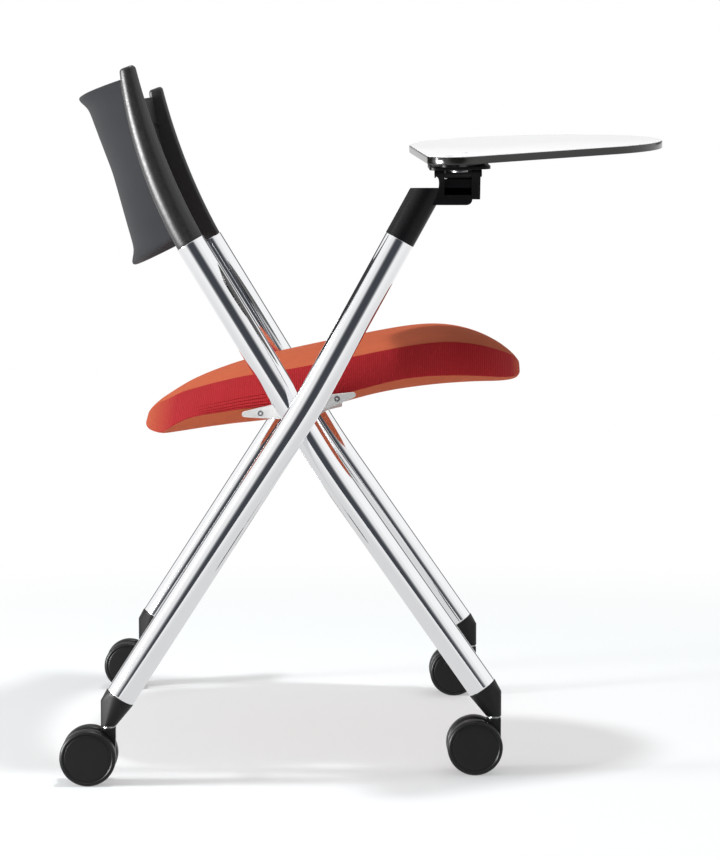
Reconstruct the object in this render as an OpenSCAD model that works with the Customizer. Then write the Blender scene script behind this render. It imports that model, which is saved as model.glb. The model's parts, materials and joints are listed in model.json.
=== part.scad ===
// Nesting chair: two crossed tube frames on twin-wheel casters, a seat that tips up
// about the crossing, a bowed back panel and a writing tablet that swings and drops.
// The front of the chair faces +X, its right side is -Y and +Z is up.

/* [Frame] */
// Distance between the front legs, from tube centre to tube centre
track_front = 475; // [440:1:520]
// Clear gap between a front leg tube and the rear leg tube beside it
side_gap = 18; // [12:1:26]
// Outside diameter of the frame tubes
tube_d = 32; // [28:1:36]
// Wall of the frame tubes
tube_wall = 2; // [1.5:0.5:3]
// Height of the crossing above the floor
crossing_h = 386; // [360:1:410]
// Slope of the back tubes against the floor, in degrees
back_slope = 58.6; // [56:0.1:62]
// Slope of the front legs, in degrees
front_slope = 55.1; // [53:0.1:58]
// Slope of the arm tube, in degrees
arm_slope = 61.1; // [58:0.1:63]
// Slope of the rear legs, in degrees
rear_slope = 57.1; // [55:0.1:60]
// Height of the cut top of the back tubes
back_tube_top = 575; // [550:1:600]
// Height of the cut top of the arm tube
arm_tube_top = 579; // [560:1:600]
// Height of the cut bottom of the legs
leg_bottom = 93; // [86:1:100]
// How far under the crossing the front legs bend
front_bend_drop = 59; // [40:1:80]
// Diameter of the tube that joins the two side frames
cross_d = 25; // [20:1:28]

/* [Casters] */
// Diameter of the wheels
wheel_d = 60; // [56:1:62]
// Width of one wheel
wheel_w = 16; // [14:0.5:18]
// Space between the two wheels of a caster
wheel_gap = 12; // [11:0.5:14]
// How far the wheels trail behind the stem
trail = 21; // [18:1:24]
// Diameter of the swivel stem
stem_d = 10; // [8:1:11]
// Height of the bottom of the leg sockets
socket_bottom = 61.8; // [61.5:0.1:66]
// Diameter of the lower end of the leg sockets
socket_d = 16.4; // [15:0.2:20]
// Distance from the middle of the leg's cut end to the stem
stem_reach = 12.8; // [10:0.2:14]

/* [Back] */
// Height of the uprights above the back tubes
back_h = 188; // [170:1:200]
// Width of an upright at its foot, seen from the side
upright_foot_w = 30; // [26:1:31]
// Width of an upright at its tip, seen from the side
upright_tip_w = 15; // [12:1:20]
// Thickness of an upright, seen from the front
upright_t = 28; // [24:1:30]
// Slope of the uprights at the foot, in degrees
upright_foot_slope = 61; // [59:0.5:64]
// Slope of the uprights at the tip, in degrees
upright_tip_slope = 80; // [76:0.5:84]
// How far the back panel's top edge lies behind the uprights' middle line
panel_bow_top = 65; // [50:1:72]
// How far the back panel lies behind that line halfway up
panel_bow_mid = 56.5; // [45:0.5:62]
// How far the back panel's bottom edge lies behind that line
panel_bow_bottom = 71; // [55:1:76]
// Thickness of the back panel
panel_t = 5; // [4:0.5:7]

/* [Seat] */
// Length of the seat from back to front
seat_l = 432; // [410:1:445]
// Width of the seat
seat_w = 430; // [400:1:430]
// Length of the seat's rounded ends, seen from above
seat_corner = 70; // [50:1:90]
// Thickness of the plate inside the seat
pan_t = 9; // [7:0.5:10]
// Thickness of the seat brackets
seat_bracket_t = 5; // [4:0.5:5.5]

/* [Tablet] */
// Radius of the wide end of the tablet
tablet_wide_r = 141; // [120:1:150]
// Radius of the narrow end of the tablet
tablet_narrow_r = 30.5; // [28:0.5:34]
// Distance between the middles of the two ends
tablet_reach = 217.5; // [190:0.5:240]
// Thickness of the whole board
tablet_t = 8.6; // [8:0.1:12]
// Direction of the tablet in use, in degrees from straight ahead towards the sitter
tablet_turn = 63.2; // [50:0.1:75]
// Tilt of the tablet towards its outer side, in degrees
tablet_tilt = 4.8; // [0:0.1:6]
// Rise of the tablet towards the front, in degrees
tablet_rise = 1.4; // [0:0.1:3]
// Height of the arm fitting above the cut top of the arm tube
fitting_rise = 54; // [48:1:60]
// Height of the drop hinge above the arm fitting
hinge_rise = 15.5; // [12:0.5:20]
// Distance of the swing pivot ahead of the arm tube's top
pivot_past = 60.8; // [54:0.1:68]
// Distance from the drop hinge to the swing pivot
pivot_reach = 26.3; // [24:0.1:30]

/* [Hidden] */
$fn = 64;

// Colours
chrome = [0.78, 0.79, 0.80];
black = [0.11, 0.11, 0.12];
grey = [0.33, 0.34, 0.35];
steel = [0.62, 0.63, 0.65];
cast = [0.80, 0.80, 0.79];
orange = [0.86, 0.38, 0.27];
white = [0.93, 0.93, 0.93];
rubber = [0.07, 0.07, 0.07];

// Fits
cut = 1;             // overrun of a cutter past the face it opens
bend_gap = 0.02;     // space between the two solids of a bent tube
link_inset = 0.15;   // how far a link's straight side starts inside its rounds
run = 0.05;          // radial clearance of a turning fit
soft = 0.3;          // space round the cushion
fit = 0.3;           // space between pieces that pass each other

// Side planes
tube_r = tube_d / 2;
bore_r = tube_r - tube_wall;
inner_y = track_front / 2;
outer_y = inner_y + tube_d + side_gap;
cross_r = cross_d / 2;
cross_wall = 2;
arm_bend_rise = 14;  // how far above the crossing the arm tube bends

// Directions up along the legs and the arm, in the side view
front_up = [-cos(front_slope), sin(front_slope)];
rear_up = [cos(rear_slope), sin(rear_slope)];
back_up = [-cos(back_slope), sin(back_slope)];
arm_up = [cos(arm_slope), sin(arm_slope)];

// Named places in the side view, as [x, z] with the crossing at x = 0
crossing = [0, crossing_h];
front_bend = crossing + [front_bend_drop / tan(back_slope), -front_bend_drop];
front_end = [front_bend.x + (front_bend.y - leg_bottom) / tan(front_slope), leg_bottom];
rear_end = [-(crossing_h - leg_bottom) / tan(rear_slope), leg_bottom];
back_end = [-(back_tube_top - crossing_h) / tan(back_slope), back_tube_top];
arm_bend = crossing + arm_bend_rise * rear_up;
arm_end = [arm_bend.x + (arm_tube_top - arm_bend.y) / tan(arm_slope), arm_tube_top];
fitting_top = arm_tube_top + fitting_rise;
hinge_h = fitting_top + hinge_rise;
pivot_ahead = arm_end.x + pivot_past;
front_stem_x = front_end.x + stem_reach;
rear_stem_x = rear_end.x - stem_reach;

// Caster sizes
wheel_r = wheel_d / 2;
wheel_round = 3.5;       // radius of the tread's shoulders
wheel_lip = 3;           // width of the rim round the outer dish
wheel_dish = 1;          // depth of the outer dish
wheel_web = 4;           // thickness of the closed outer side
wheel_shell = 4.5;       // thickness of the tread ring
hub_r = 8;
axle_r = 4;
hood_side_gap = 0.5;     // space between the hood and a wheel
hood_t = wheel_gap - 2 * hood_side_gap;
hood_boss_r = 15;
fender_inset = 2.5;      // how far the fender stays inside the wheels' outline
fender_t = 5.5;
fender_out_r = wheel_r - fender_inset;
neck_gap = 2;            // space between the hood and the socket
neck_top = socket_bottom - neck_gap;
neck_r = 7.6;
stem_r = stem_d / 2;
stem_foot = 40;          // height of the stem's lower end, inside the neck
collar_r = 6.5;
collar_h = 1;
caster_half = wheel_gap / 2 + wheel_w;

// The outer tube on the left ends just above the crossing, under a cap
left_leg_rise = 18;
left_leg_top = crossing + left_leg_rise * rear_up;
spacer_r = 9;
cap_h = 4;
cap_plug_l = 14;

// Socket sizes
socket_rim = 0.4;        // how far the socket stands proud of the tube
socket_shoulder = 89;    // height of the socket's upper shoulder and of the stem's top
spigot_l = 22;           // length of a plug inside a tube
socket_collar = 2;       // length of the socket's round collar along the tube

// Upright sizes
arc_r = (back_h - upright_tip_w * cos(upright_tip_slope) / 2)
    / (cos(upright_foot_slope) - cos(upright_tip_slope));
upright_in_y = inner_y - upright_t / 2;
upright_corner_share = 0.42;   // radius of the outer corners as a share of the width
upright_inner_r = 4;           // radius of the inner corners
upright_tip_cut = 70;          // slope to which the tip is cut square, in degrees
upright_plug_l = 45;
taper_power = 2.2;
tip_round = 3;                 // rounding of the upright's tip

// Panel sizes
panel_low_share = 0.055;       // where the panel starts and ends along the uprights
panel_high_share = 0.95;
panel_lip = 3.5;               // extra thickness of the rolled lips
panel_lip_share = 0.07;        // height of a lip as a share of the panel's height
panel_roll = 5;                // how far a lip rolls outwards
panel_bow_power = 2.4;         // how square the bow is, seen from above
panel_waist = 0.54;            // height share at which the panel is bowed least
panel_waist_power = 1.5;
panel_set = 4.5;               // depth of the panel's edges in the uprights' rear side
back_pin_shares = [0.25, 0.78];
back_pin_r = 1.6;
back_pin_in = 4;               // depth of a pin in the panel's edge
back_pin_out = 10;             // depth of a pin in the upright

// Seat outline as shares of the seat's length, from the hinge axis
seat_back_share = -0.412;
seat_top_shares = [
    [-0.412, -0.036], [-0.402, -0.012], [-0.377, 0.010], [-0.295, 0.060], [-0.151, 0.113],
    [-0.014, 0.143], [0.172, 0.180], [0.305, 0.205], [0.385, 0.210], [0.465, 0.196],
    [0.538, 0.163], [0.577, 0.134], [0.588, 0.108]
];
seat_bottom_shares = [
    [-0.412, -0.052], [-0.395, -0.056], [-0.3375, -0.0405], [-0.245, -0.030],
    [-0.070, -0.006], [0.072, 0.0245], [0.2025, 0.0556], [0.278, 0.071], [0.377, 0.081],
    [0.520, 0.085], [0.570, 0.083], [0.588, 0.088]
];
// Half width of the top panel, as a share of the cushion's half width, along the seat
seat_crease_shares = [
    [-0.412, 0.60], [-0.27, 0.62], [-0.135, 0.68], [-0.027, 0.85], [0.10, 0.915],
    [0.24, 0.93], [0.588, 0.93]
];
// Height of the lower seam, as a share of the cushion's height, along the seat
seat_seam_shares = [[-0.412, 0.22], [-0.29, 0.12], [-0.15, 0.22], [0, 0.27], [0.588, 0.27]];
seat_crease_h = 0.83;          // height of the top crease, as a share of the cushion's height
seat_flat = 0.80;              // flat part of the underside, as a share of the half width
seat_end_power = 3;            // how square the ends are, seen from above
seat_end_inset = 0.4;
draw_in = 3;                   // how far the sides pull in between the corners
cushion_rings = 24;
pan_inset = 2;                 // height of the plate above the cushion's underside
pan_half = 168;
pan_back_share = -0.31;
pan_front_share = 0.43;
pan_steps = 16;
pan_channel = 3;               // space between the cross tube and the seat plate
pan_hump = 5;                  // thickness of the seat plate over the cross tube

// Seat hinge sizes
bush_t = 1.5;
bush_flange = 0.8;
seat_bracket_gap = 0.5;         // space between the cushion's side and a bracket
seat_bracket_in = seat_w / 2 + seat_bracket_gap;
seat_bracket_out = seat_bracket_in + seat_bracket_t;
seat_hub_wall = 5.5;
seat_hub_r = cross_r + bush_t + seat_hub_wall;
seat_tip_r = 5;
rear_tip = [-57, 2];
front_tip = [58, 21.5];
rear_screw = [-42, 2.3];
front_screw = [42, 18.8];
pad_r = 5;
screw_r = 2;
screw_head_r = 3.8;
screw_head_h = 2.4;
seat_screw_l = 58;

// Seat stop sizes
stop_y = 120;
stop_w = 22;
stop_x = 40;                   // distance of the buffers ahead of the crossing
stop_t = 6;
buffer_r = 8;
buffer_h = 5;

// Tablet sizes
sheet_t = 0.8;                 // thickness of a laminate sheet
barrel_r = 5.5;
barrel_half = 14;
ear_t = 9;
ear_gap = 0.3;
ear_x = barrel_half + ear_gap + ear_t / 2;   // distance of an ear from the hinge's middle
pin_r = 3;
pin_head_r = 4.6;
pin_head_t = 1.5;
carrier_low = 6.3;
carrier_t = 3.3;
carrier_half = 31.5;
carrier_in = 15;
carrier_past = 22;             // length of the carrier beyond the swing pivot
carrier_out = pivot_reach + carrier_past;
carrier_corner = 8;
layer_gap = 0.2;               // space between the stacked tablet pieces
mount_low = carrier_low + carrier_t + layer_gap;
mount_t = 2.6;
mount_r = 19;
board_low = mount_low + mount_t;
plug_spacing = 50.8;
plug_r = 4.8;
plug_t = 2;
pivot_offset = 6.3;            // distance of the swing pivot from the middle of the narrow end
pivot_r = 5;
pivot_head_r = 9;
pivot_head_t = 2;
washer_r = 12;
washer_t = 1.2;
tablet_screw_r = 2;
tablet_screw_head_r = 4;
hinge_out = 11.5;              // how far the drop hinge lies outside the arm tube's middle
bracket_front = 40;            // length of the bracket's block ahead of the fitting
bracket_h = 18;
bracket_in = 10.5;             // reach of the block on the inner side of the arm's middle
bracket_out = 10.8;
bracket_web_t = 8;
bracket_round = 6;
bracket_screw_r = 2.5;
bracket_screw_head_r = 4.2;
bracket_screw_l = 44;
bracket_screw_rise = 5;

// The box of the whole chair, which puts the origin under its middle
tablet_normal = [-cos(tablet_tilt) * sin(tablet_rise), -sin(tablet_tilt),
    cos(tablet_tilt) * cos(tablet_rise)];
hinge_y = -(outer_y + hinge_out);
wide_from_pivot = tablet_reach - pivot_offset;
top_of_board = board_low + tablet_t;
function tablet_world(p) = let (
        y = p.y * cos(tablet_tilt) - p.z * sin(tablet_tilt),
        z = p.y * sin(tablet_tilt) + p.z * cos(tablet_tilt))
    [pivot_ahead + p.x * cos(tablet_rise) - z * sin(tablet_rise),
        hinge_y + y,
        hinge_h + p.x * sin(tablet_rise) + z * cos(tablet_rise)];
wide_middle = tablet_world([wide_from_pivot * cos(tablet_turn),
    -pivot_reach + wide_from_pivot * sin(tablet_turn), board_low]);
narrow_middle = tablet_world([-pivot_offset * cos(tablet_turn),
    -pivot_reach - pivot_offset * sin(tablet_turn), top_of_board]);
box_front = wide_middle.x + tablet_wide_r * sqrt(1 - pow(tablet_normal.x, 2));
box_back = rear_stem_x - trail - wheel_r;
box_right = narrow_middle.y - tablet_narrow_r * sqrt(1 - pow(tablet_normal.y, 2));
box_left = outer_y + caster_half;
origin_shift = [-(box_front + box_back) / 2, -(box_left + box_right) / 2, 0];

// Helpers

// Moves a piece from the crossing's frame into the chair's frame
module placed() translate(origin_shift) children();

// Stands a drawing of the side view up, centred on y, with the given thickness
module side_view(y, t) translate([0, y + t / 2, 0]) rotate([90, 0, 0]) linear_extrude(t) children();

// A round bar between two places of the side view, in the plane y
module bar(a, b, y, r) {
    d = b - a;
    translate([a.x, y, a.y]) rotate([0, 90 - atan2(d.y, d.x), 0]) cylinder(h = norm(d), r = r);
}

// A straight tube of the frame, cut square at a, and at b on the plane that halves the bend to c
module mitred_tube(a, b, c, y) difference() {
    up = (b - a) / norm(b - a);
    half = up + (c - b) / norm(c - b);
    bar(a, b + tube_r * up, y, tube_r);
    bar(a - cut * up, b + tube_d * up, y, bore_r);
    translate([b.x, y, b.y]) rotate([0, -atan2(half.y, half.x), 0])
        translate([-bend_gap / 2, -tube_d, -tube_d]) cube(2 * tube_d);
}

// A tube that bends once, at b, drawn as two straight solids that meet there
module bent_tube(a, b, c, y) {
    mitred_tube(a, b, c, y);
    mitred_tube(c, b, a, y);
}

// A flat link with two round ends and straight sides, which start just inside the rounds
module link(p, pr, q, qr) {
    d = q - p;
    lean = asin((pr - qr) / norm(d));
    way = atan2(d.y, d.x);
    function on(m, r, s) = m + (r - link_inset) * [cos(way + s * (90 - lean)), sin(way + s * (90 - lean))];
    translate(p) circle(pr);
    translate(q) circle(qr);
    polygon([on(p, pr, -1), on(q, qr, -1), on(q, qr, 1), on(p, pr, 1)]);
}

// A closed skin of triangles over rings that all have the same number of points. The two
// end rings are closed from their middle, or across, where the ring is a thin band
module skin(rings, across = false) {
    n = len(rings[0]);
    m = len(rings);
    last = (m - 1) * n;
    function middle(ring) = [for (k = [0:2]) [for (p = ring) p[k]] * [for (p = ring) 1] / n];
    points = concat([for (ring = rings) each ring], [middle(rings[0]), middle(rings[m - 1])]);
    ends = across
        ? [for (i = [0:n / 2 - 2]) each [
            [i, i + 1, n - 2 - i], [i, n - 2 - i, n - 1 - i],
            [last + i, last + n - 2 - i, last + i + 1], [last + i, last + n - 1 - i, last + n - 2 - i]]]
        : [for (i = [0:n - 1]) each [
            [m * n, i, (i + 1) % n], [m * n + 1, last + (i + 1) % n, last + i]]];
    sides = [for (j = [0:m - 2], i = [0:n - 1]) each [
        [j * n + i, (j + 1) * n + i, j * n + (i + 1) % n],
        [j * n + (i + 1) % n, (j + 1) * n + i, (j + 1) * n + (i + 1) % n]]];
    polyhedron(across ? [for (ring = rings) each ring] : points, concat(ends, sides));
}

// The points of a rectangle with rounded corners, counted from its middle. The two corners
// on the +y side have the first radius
function rounded(hx, hy, upper_r, lower_r, k = 5) = [for (c = [0:3], i = [0:k - 1]) let (
        a = 90 * (c + i / (k - 1)),
        sx = (c == 0 || c == 3) ? 1 : -1,
        sy = c < 2 ? 1 : -1,
        r = c < 2 ? upper_r : lower_r)
    [sx * (hx - r) + r * cos(a), sy * (hy - r) + r * sin(a)]];

// A smooth curve through a table of shares
function slope_at(t, i) = i == 0 ? (t[1].y - t[0].y) / (t[1].x - t[0].x)
    : i == len(t) - 1 ? (t[i].y - t[i - 1].y) / (t[i].x - t[i - 1].x)
    : (t[i + 1].y - t[i - 1].y) / (t[i + 1].x - t[i - 1].x);
function span_of(t, x, i = 0) = i >= len(t) - 2 || x < t[i + 1].x ? i : span_of(t, x, i + 1);
function smooth(t, x) = let (
        i = span_of(t, x),
        w = t[i + 1].x - t[i].x,
        s = min(1, max(0, (x - t[i].x) / w)),
        s2 = s * s,
        s3 = s2 * s)
    t[i].y * (2 * s3 - 3 * s2 + 1) + slope_at(t, i) * w * (s3 - 2 * s2 + s)
    + t[i + 1].y * (3 * s2 - 2 * s3) + slope_at(t, i + 1) * w * (s3 - s2);

// Frame

// The inner tube of one side: back tube and front leg in one piece
module back_tube(side) placed() color(chrome)
    bent_tube(front_end, front_bend, back_end, side * inner_y);

module right_back_tube() back_tube(-1);
module left_back_tube() back_tube(1);

// The outer tube on the right: arm and rear leg in one piece
module right_arm_tube() placed() color(chrome) bent_tube(rear_end, arm_bend, arm_end, -outer_y);

// The outer tube on the left: a rear leg only
module left_rear_leg() placed() color(chrome) difference() {
    bar(rear_end, left_leg_top, outer_y, tube_r);
    bar(rear_end - cut * rear_up, left_leg_top + cut * rear_up, outer_y, bore_r);
}

// A black cap closes the left rear leg
module left_leg_cap() placed() color(black) {
    bar(left_leg_top - cap_plug_l * rear_up, left_leg_top + cap_h / 2 * rear_up, outer_y, bore_r - run);
    bar(left_leg_top, left_leg_top + cap_h * rear_up, outer_y, tube_r);
}

// The tube across the chair, on which the seat turns, cut to the inner tubes
module cross_tube() placed() color(chrome) difference() {
    translate([crossing.x, inner_y, crossing.y]) rotate([90, 0, 0]) difference() {
        cylinder(h = 2 * inner_y, r = cross_r);
        translate([0, 0, -cut]) cylinder(h = 2 * inner_y + 2 * cut, r = cross_r - cross_wall);
    }
    for (side = [-1, 1]) bar(front_bend, back_end, side * inner_y, tube_r);
}

// Short welded tubes between the inner and the outer tube of each side
module crossing_spacers() placed() color(chrome) difference() {
    for (side = [-1, 1]) translate([crossing.x, side * (inner_y + outer_y) / 2, crossing.y])
        rotate([90, 0, 0]) cylinder(h = outer_y - inner_y, r = spacer_r, center = true);
    for (side = [-1, 1]) bar(front_bend, back_end, side * inner_y, tube_r);
    for (side = [-1, 1]) bar(rear_end, left_leg_top, side * outer_y, tube_r);
}

// Leg sockets: a plug in the leg, a collar and a tapered housing for the stem
module leg_socket(end, up, stem_x, y) placed() color(black) {
    out = tube_r + socket_rim;
    difference() {
        union() {
            hull() {
                bar(end - socket_collar * up, end, y, out, $fn = 32);
                translate([stem_x, y, socket_bottom])
                    cylinder(h = socket_shoulder - socket_bottom, r = socket_d / 2, $fn = 32);
            }
            bar(end - socket_collar * up, end + spigot_l * up, y, bore_r - run);
        }
        translate([stem_x, y, socket_bottom - cut])
            cylinder(h = socket_shoulder + run - socket_bottom + cut, r = stem_r + run);
    }
}

module front_right_socket() leg_socket(front_end, front_up, front_stem_x, -inner_y);
module front_left_socket() leg_socket(front_end, front_up, front_stem_x, inner_y);
module rear_right_socket() leg_socket(rear_end, rear_up, rear_stem_x, -outer_y);
module rear_left_socket() leg_socket(rear_end, rear_up, rear_stem_x, outer_y);

// Back

// Slope and place of the uprights' middle line, at a share of their height
function upright_slope(s) = upright_foot_slope + s * (upright_tip_slope - upright_foot_slope);
function upright_at(s) = back_end + arc_r * [sin(upright_foot_slope) - sin(upright_slope(s)),
    cos(upright_foot_slope) - cos(upright_slope(s))];
function upright_width(s) = upright_tip_w + (upright_foot_w - upright_tip_w) * (1 - pow(s, taper_power));
// Direction to the front of the upright. The foot is cut like the tube, and the tip at its own slope
function upright_front(s) = let (a = s == 0 ? back_slope : s == 1 ? upright_tip_cut : upright_slope(s))
    [sin(a), cos(a)];

function upright_ring(s, side, shrink) = let (
        w = upright_width(s) / 2 - shrink,
        t = upright_t / 2 - shrink,
        n = upright_front(s),
        m = upright_at(s),
        outline = rounded(w, t, upright_corner_share * 2 * w - shrink / 2, upright_inner_r - shrink),
        last = len(outline) - 1)
    [for (i = [0:last]) let (p = outline[side > 0 ? i : last - i])
        [m.x + p.x * n.x, side * (inner_y + p.y), m.y + p.x * n.y]];

upright_steps = 16;
module upright(side) placed() color(black) difference() {
    top_share = 1 - tip_round / back_h;
    union() {
        skin(concat(
            [for (i = [0:upright_steps]) upright_ring(top_share * i / upright_steps, side, 0)],
            [upright_ring((1 + 2 * top_share) / 3, side, tip_round / 4)],
            [upright_ring(1, side, tip_round * 0.9)]));
        bar(back_end - upright_plug_l * back_up, back_end + 2 * tube_wall * back_up,
            side * inner_y, bore_r - run);
    }
    for (s = back_pin_shares) back_pin(s, side);
}
module right_upright() upright(-1);
module left_upright() upright(1);

// The bowed panel between the uprights, with rolled lips at its top and bottom
panel_half = upright_in_y;
panel_across = 20;
panel_up = 14;
function panel_share(v) = panel_low_share + v * (panel_high_share - panel_low_share);
function lip_at(v) = exp(-pow(min(v, 1 - v) / panel_lip_share, 2));
function panel_bow(v) = v < panel_waist
    ? panel_bow_mid + (panel_bow_bottom - panel_bow_mid) * pow(1 - v / panel_waist, panel_waist_power)
    : panel_bow_mid + (panel_bow_top - panel_bow_mid)
        * pow((v - panel_waist) / (1 - panel_waist), panel_waist_power);
// Depth of the panel's edges behind the uprights' middle line
function panel_edge(s) = upright_width(s) / 2 - panel_set;
function panel_point(u, v, face) = let (
        s = panel_share(v),
        n = upright_front(s),
        m = upright_at(s),
        across = 1 - pow(abs(u), panel_bow_power),
        edge = panel_edge(s),
        back = edge + (panel_bow(v) + panel_roll * lip_at(v) - edge) * across,
        d = -back + face * (panel_t + panel_lip * lip_at(v)) / 2)
    [m.x + d * n.x, u * panel_half, m.y + d * n.y];
function panel_ring(u) = concat(
    [for (i = [0:panel_up]) panel_point(u, i / panel_up, 1)],
    [for (i = [panel_up:-1:0]) panel_point(u, i / panel_up, -1)]);
module back_panel() placed() color(grey) difference() {
    skin([for (j = [0:panel_across]) panel_ring(1 - 2 * j / panel_across)], across = true);
    for (side = [-1, 1], s = back_pin_shares) back_pin(s, side);
}

// Four pins hold the panel's edges between the uprights
module back_pin(s, side) {
    m = upright_at(s) - panel_edge(s) * upright_front(s);
    translate([m.x, side * (panel_half + (back_pin_out - back_pin_in) / 2), m.y]) rotate([90, 0, 0])
        cylinder(h = back_pin_out + back_pin_in, r = back_pin_r, center = true);
}
module back_pins() placed() color(steel)
    for (side = [-1, 1], s = back_pin_shares) back_pin(s, side);

// Seat

function seat_top(x) = crossing_h + seat_l * smooth(seat_top_shares, x / seat_l);
function seat_bottom(x) = crossing_h + seat_l * smooth(seat_bottom_shares, x / seat_l);
// Half width of the cushion, with round corners and sides that pull in a little
function seat_half(x) = let (
        from_back = x - seat_back_share * seat_l,
        d = max(0, min(from_back, seat_l - from_back, seat_corner)))
    (seat_w / 2 - draw_in * pow(sin(180 * from_back / seat_l), 2))
    * pow(1 - pow(1 - d / seat_corner, 2), 1 / seat_end_power);
// Right half of the cushion's section, as shares of the half width and the height
function cushion_half(x) = let (
        c = smooth(seat_crease_shares, x / seat_l),
        seam = smooth(seat_seam_shares, x / seat_l))
    [[0, 0], [seat_flat, 0], [0.90, seam / 6], [0.97, seam * 0.65], [1, seam],
        [(2 + c) / 3, (2 * seam + seat_crease_h) / 3], [(1 + 2 * c) / 3, (seam + 2 * seat_crease_h) / 3],
        [c, seat_crease_h], [c * 0.8, 0.90], [c / 2, 0.97], [0, 1]];
function cushion_ring(x) = let (
        low = seat_bottom(x),
        high = seat_top(x),
        half = seat_half(x),
        section = cushion_half(x),
        n = len(section))
    [for (i = [0:2 * n - 3]) let (
        p = section[i < n ? i : 2 * n - 2 - i],
        side = i < n ? 1 : -1)
        [x, side * half * p.x, low + (high - low) * p.y]];
// Stations lie closer together towards the ends
function station(i) = seat_back_share * seat_l + seat_end_inset
    + (seat_l - 2 * seat_end_inset) * (1 - cos(180 * i / cushion_rings)) / 2;

module seat_cushion() placed() color(orange) difference() {
    skin([for (i = [0:cushion_rings]) cushion_ring(station(i))]);
    side_view(0, 2 * (pan_half + soft)) offset(soft) {
        pan_strip(-cut, pan_inset + pan_t);
        pan_hump_outline();
    }
    side_view(0, seat_w + cut) translate(crossing) circle(cross_r + pan_channel);
    for (side = [-1, 1], p = [rear_screw, front_screw])
        side_view(side * (pan_half + seat_w / 2) / 2, seat_w / 2 - pan_half + cut)
            translate(crossing + p) circle(pad_r + soft);
}

// The strip between two distances above the cushion's underside, as long as the seat plate
module pan_strip(low, high) {
    x0 = pan_back_share * seat_l;
    dx = (pan_front_share - pan_back_share) * seat_l / pan_steps;
    polygon(concat(
        [for (i = [0:pan_steps]) [x0 + i * dx, seat_bottom(x0 + i * dx) + low]],
        [for (i = [pan_steps:-1:0]) [x0 + i * dx, seat_bottom(x0 + i * dx) + high]]));
}
// The arch of the plate over the cross tube
module pan_hump_outline() intersection() {
    translate(crossing) circle(cross_r + pan_channel + pan_hump);
    translate([-seat_l, seat_bottom(0) + pan_inset]) square([2 * seat_l, seat_l]);
}
// The plate inside the seat follows the cushion's underside
module pan_outline() difference() {
    union() {
        pan_strip(pan_inset, pan_inset + pan_t);
        pan_hump_outline();
    }
    translate(crossing) circle(cross_r + pan_channel);
}
module seat_pan() placed() color(black) difference() {
    side_view(0, 2 * pan_half) pan_outline();
    for (side = [-1, 1], p = [rear_screw, front_screw])
        side_view(side * pan_half, 2 * seat_screw_l) translate(crossing + p) circle(screw_r);
}

// A seat bracket: a cast plate with an eye round the cross tube and two pads
module seat_bracket(side) placed() color(cast) difference() {
    union() {
        side_view(side * (seat_bracket_in + seat_bracket_out) / 2, seat_bracket_t)
            translate(crossing) {
                link([0, 0], seat_hub_r, rear_tip, seat_tip_r);
                link([0, 0], seat_hub_r, front_tip, seat_tip_r);
            }
        for (p = [rear_screw, front_screw])
            side_view(side * (pan_half + seat_bracket_in + cut) / 2, seat_bracket_in + cut - pan_half)
                translate(crossing + p) circle(pad_r);
    }
    side_view(side * inner_y, 2 * inner_y) translate(crossing) circle(cross_r + bush_t);
    for (p = [rear_screw, front_screw]) {
        side_view(side * inner_y, 2 * inner_y) translate(crossing + p) circle(screw_r);
        side_view(side * seat_bracket_out, 2 * screw_head_h) translate(crossing + p) circle(screw_head_r);
    }
}
module right_seat_bracket() seat_bracket(-1);
module left_seat_bracket() seat_bracket(1);

// Plastic bushes between the brackets and the cross tube
module seat_bushes() placed() color(rubber) for (side = [-1, 1]) difference() {
    union() {
        side_view(side * (seat_bracket_in + seat_bracket_out) / 2, seat_bracket_t)
            translate(crossing) circle(cross_r + bush_t);
        side_view(side * (seat_bracket_out + bush_flange / 2), bush_flange)
            translate(crossing) circle(seat_hub_r);
    }
    side_view(side * inner_y, 2 * inner_y) translate(crossing) circle(cross_r + run);
}

// Four flush screws hold the brackets to the seat plate
module seat_screws() placed() color(steel)
    for (side = [-1, 1], p = [rear_screw, front_screw]) {
        side_view(side * (seat_bracket_out - screw_head_h / 2), screw_head_h)
            translate(crossing + p) circle(screw_head_r);
        side_view(side * (seat_bracket_out - screw_head_h - (seat_screw_l / 2)), seat_screw_l)
            translate(crossing + p) circle(screw_r);
    }

// Two lugs on the cross tube carry rubber buffers, on which the seat plate rests
function stop_at(x) = [x, seat_bottom(x) + pan_inset - soft - buffer_h];
stop_back = stop_at(stop_x - buffer_r);
stop_front = stop_at(stop_x + buffer_r);
module seat_stops() placed() color(chrome) for (side = [-1, 1]) difference() {
    side_view(side * stop_y, stop_w) polygon([
        crossing + [0, -cross_r + stop_t / 2], stop_back, stop_front,
        stop_front - [0, stop_t], stop_back - [0, stop_t], crossing + [0, -cross_r - stop_t / 2]]);
    side_view(0, 2 * inner_y) translate(crossing) circle(cross_r);
}
module stop_buffers() placed() color(rubber) for (side = [-1, 1])
    bar((stop_back + stop_front) / 2, (stop_back + stop_front) / 2 + buffer_h *
        [stop_back.y - stop_front.y, stop_front.x - stop_back.x] / norm(stop_front - stop_back),
        side * stop_y, buffer_r);

// Tablet

// The tablet's own frame: x along the drop hinge, y inwards, z square to the board
module tablet_frame() translate([pivot_ahead, hinge_y, hinge_h])
    rotate([tablet_tilt, -tablet_rise, 0]) children();
// The board's frame: x from the swing pivot to the wide end
module board_frame() tablet_frame() translate([0, -pivot_reach, 0])
    rotate([0, 0, tablet_turn]) children();

module tablet_outline()
    link([-pivot_offset, 0], tablet_narrow_r, [wide_from_pivot, 0], tablet_wide_r, $fn = 128);

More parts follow.
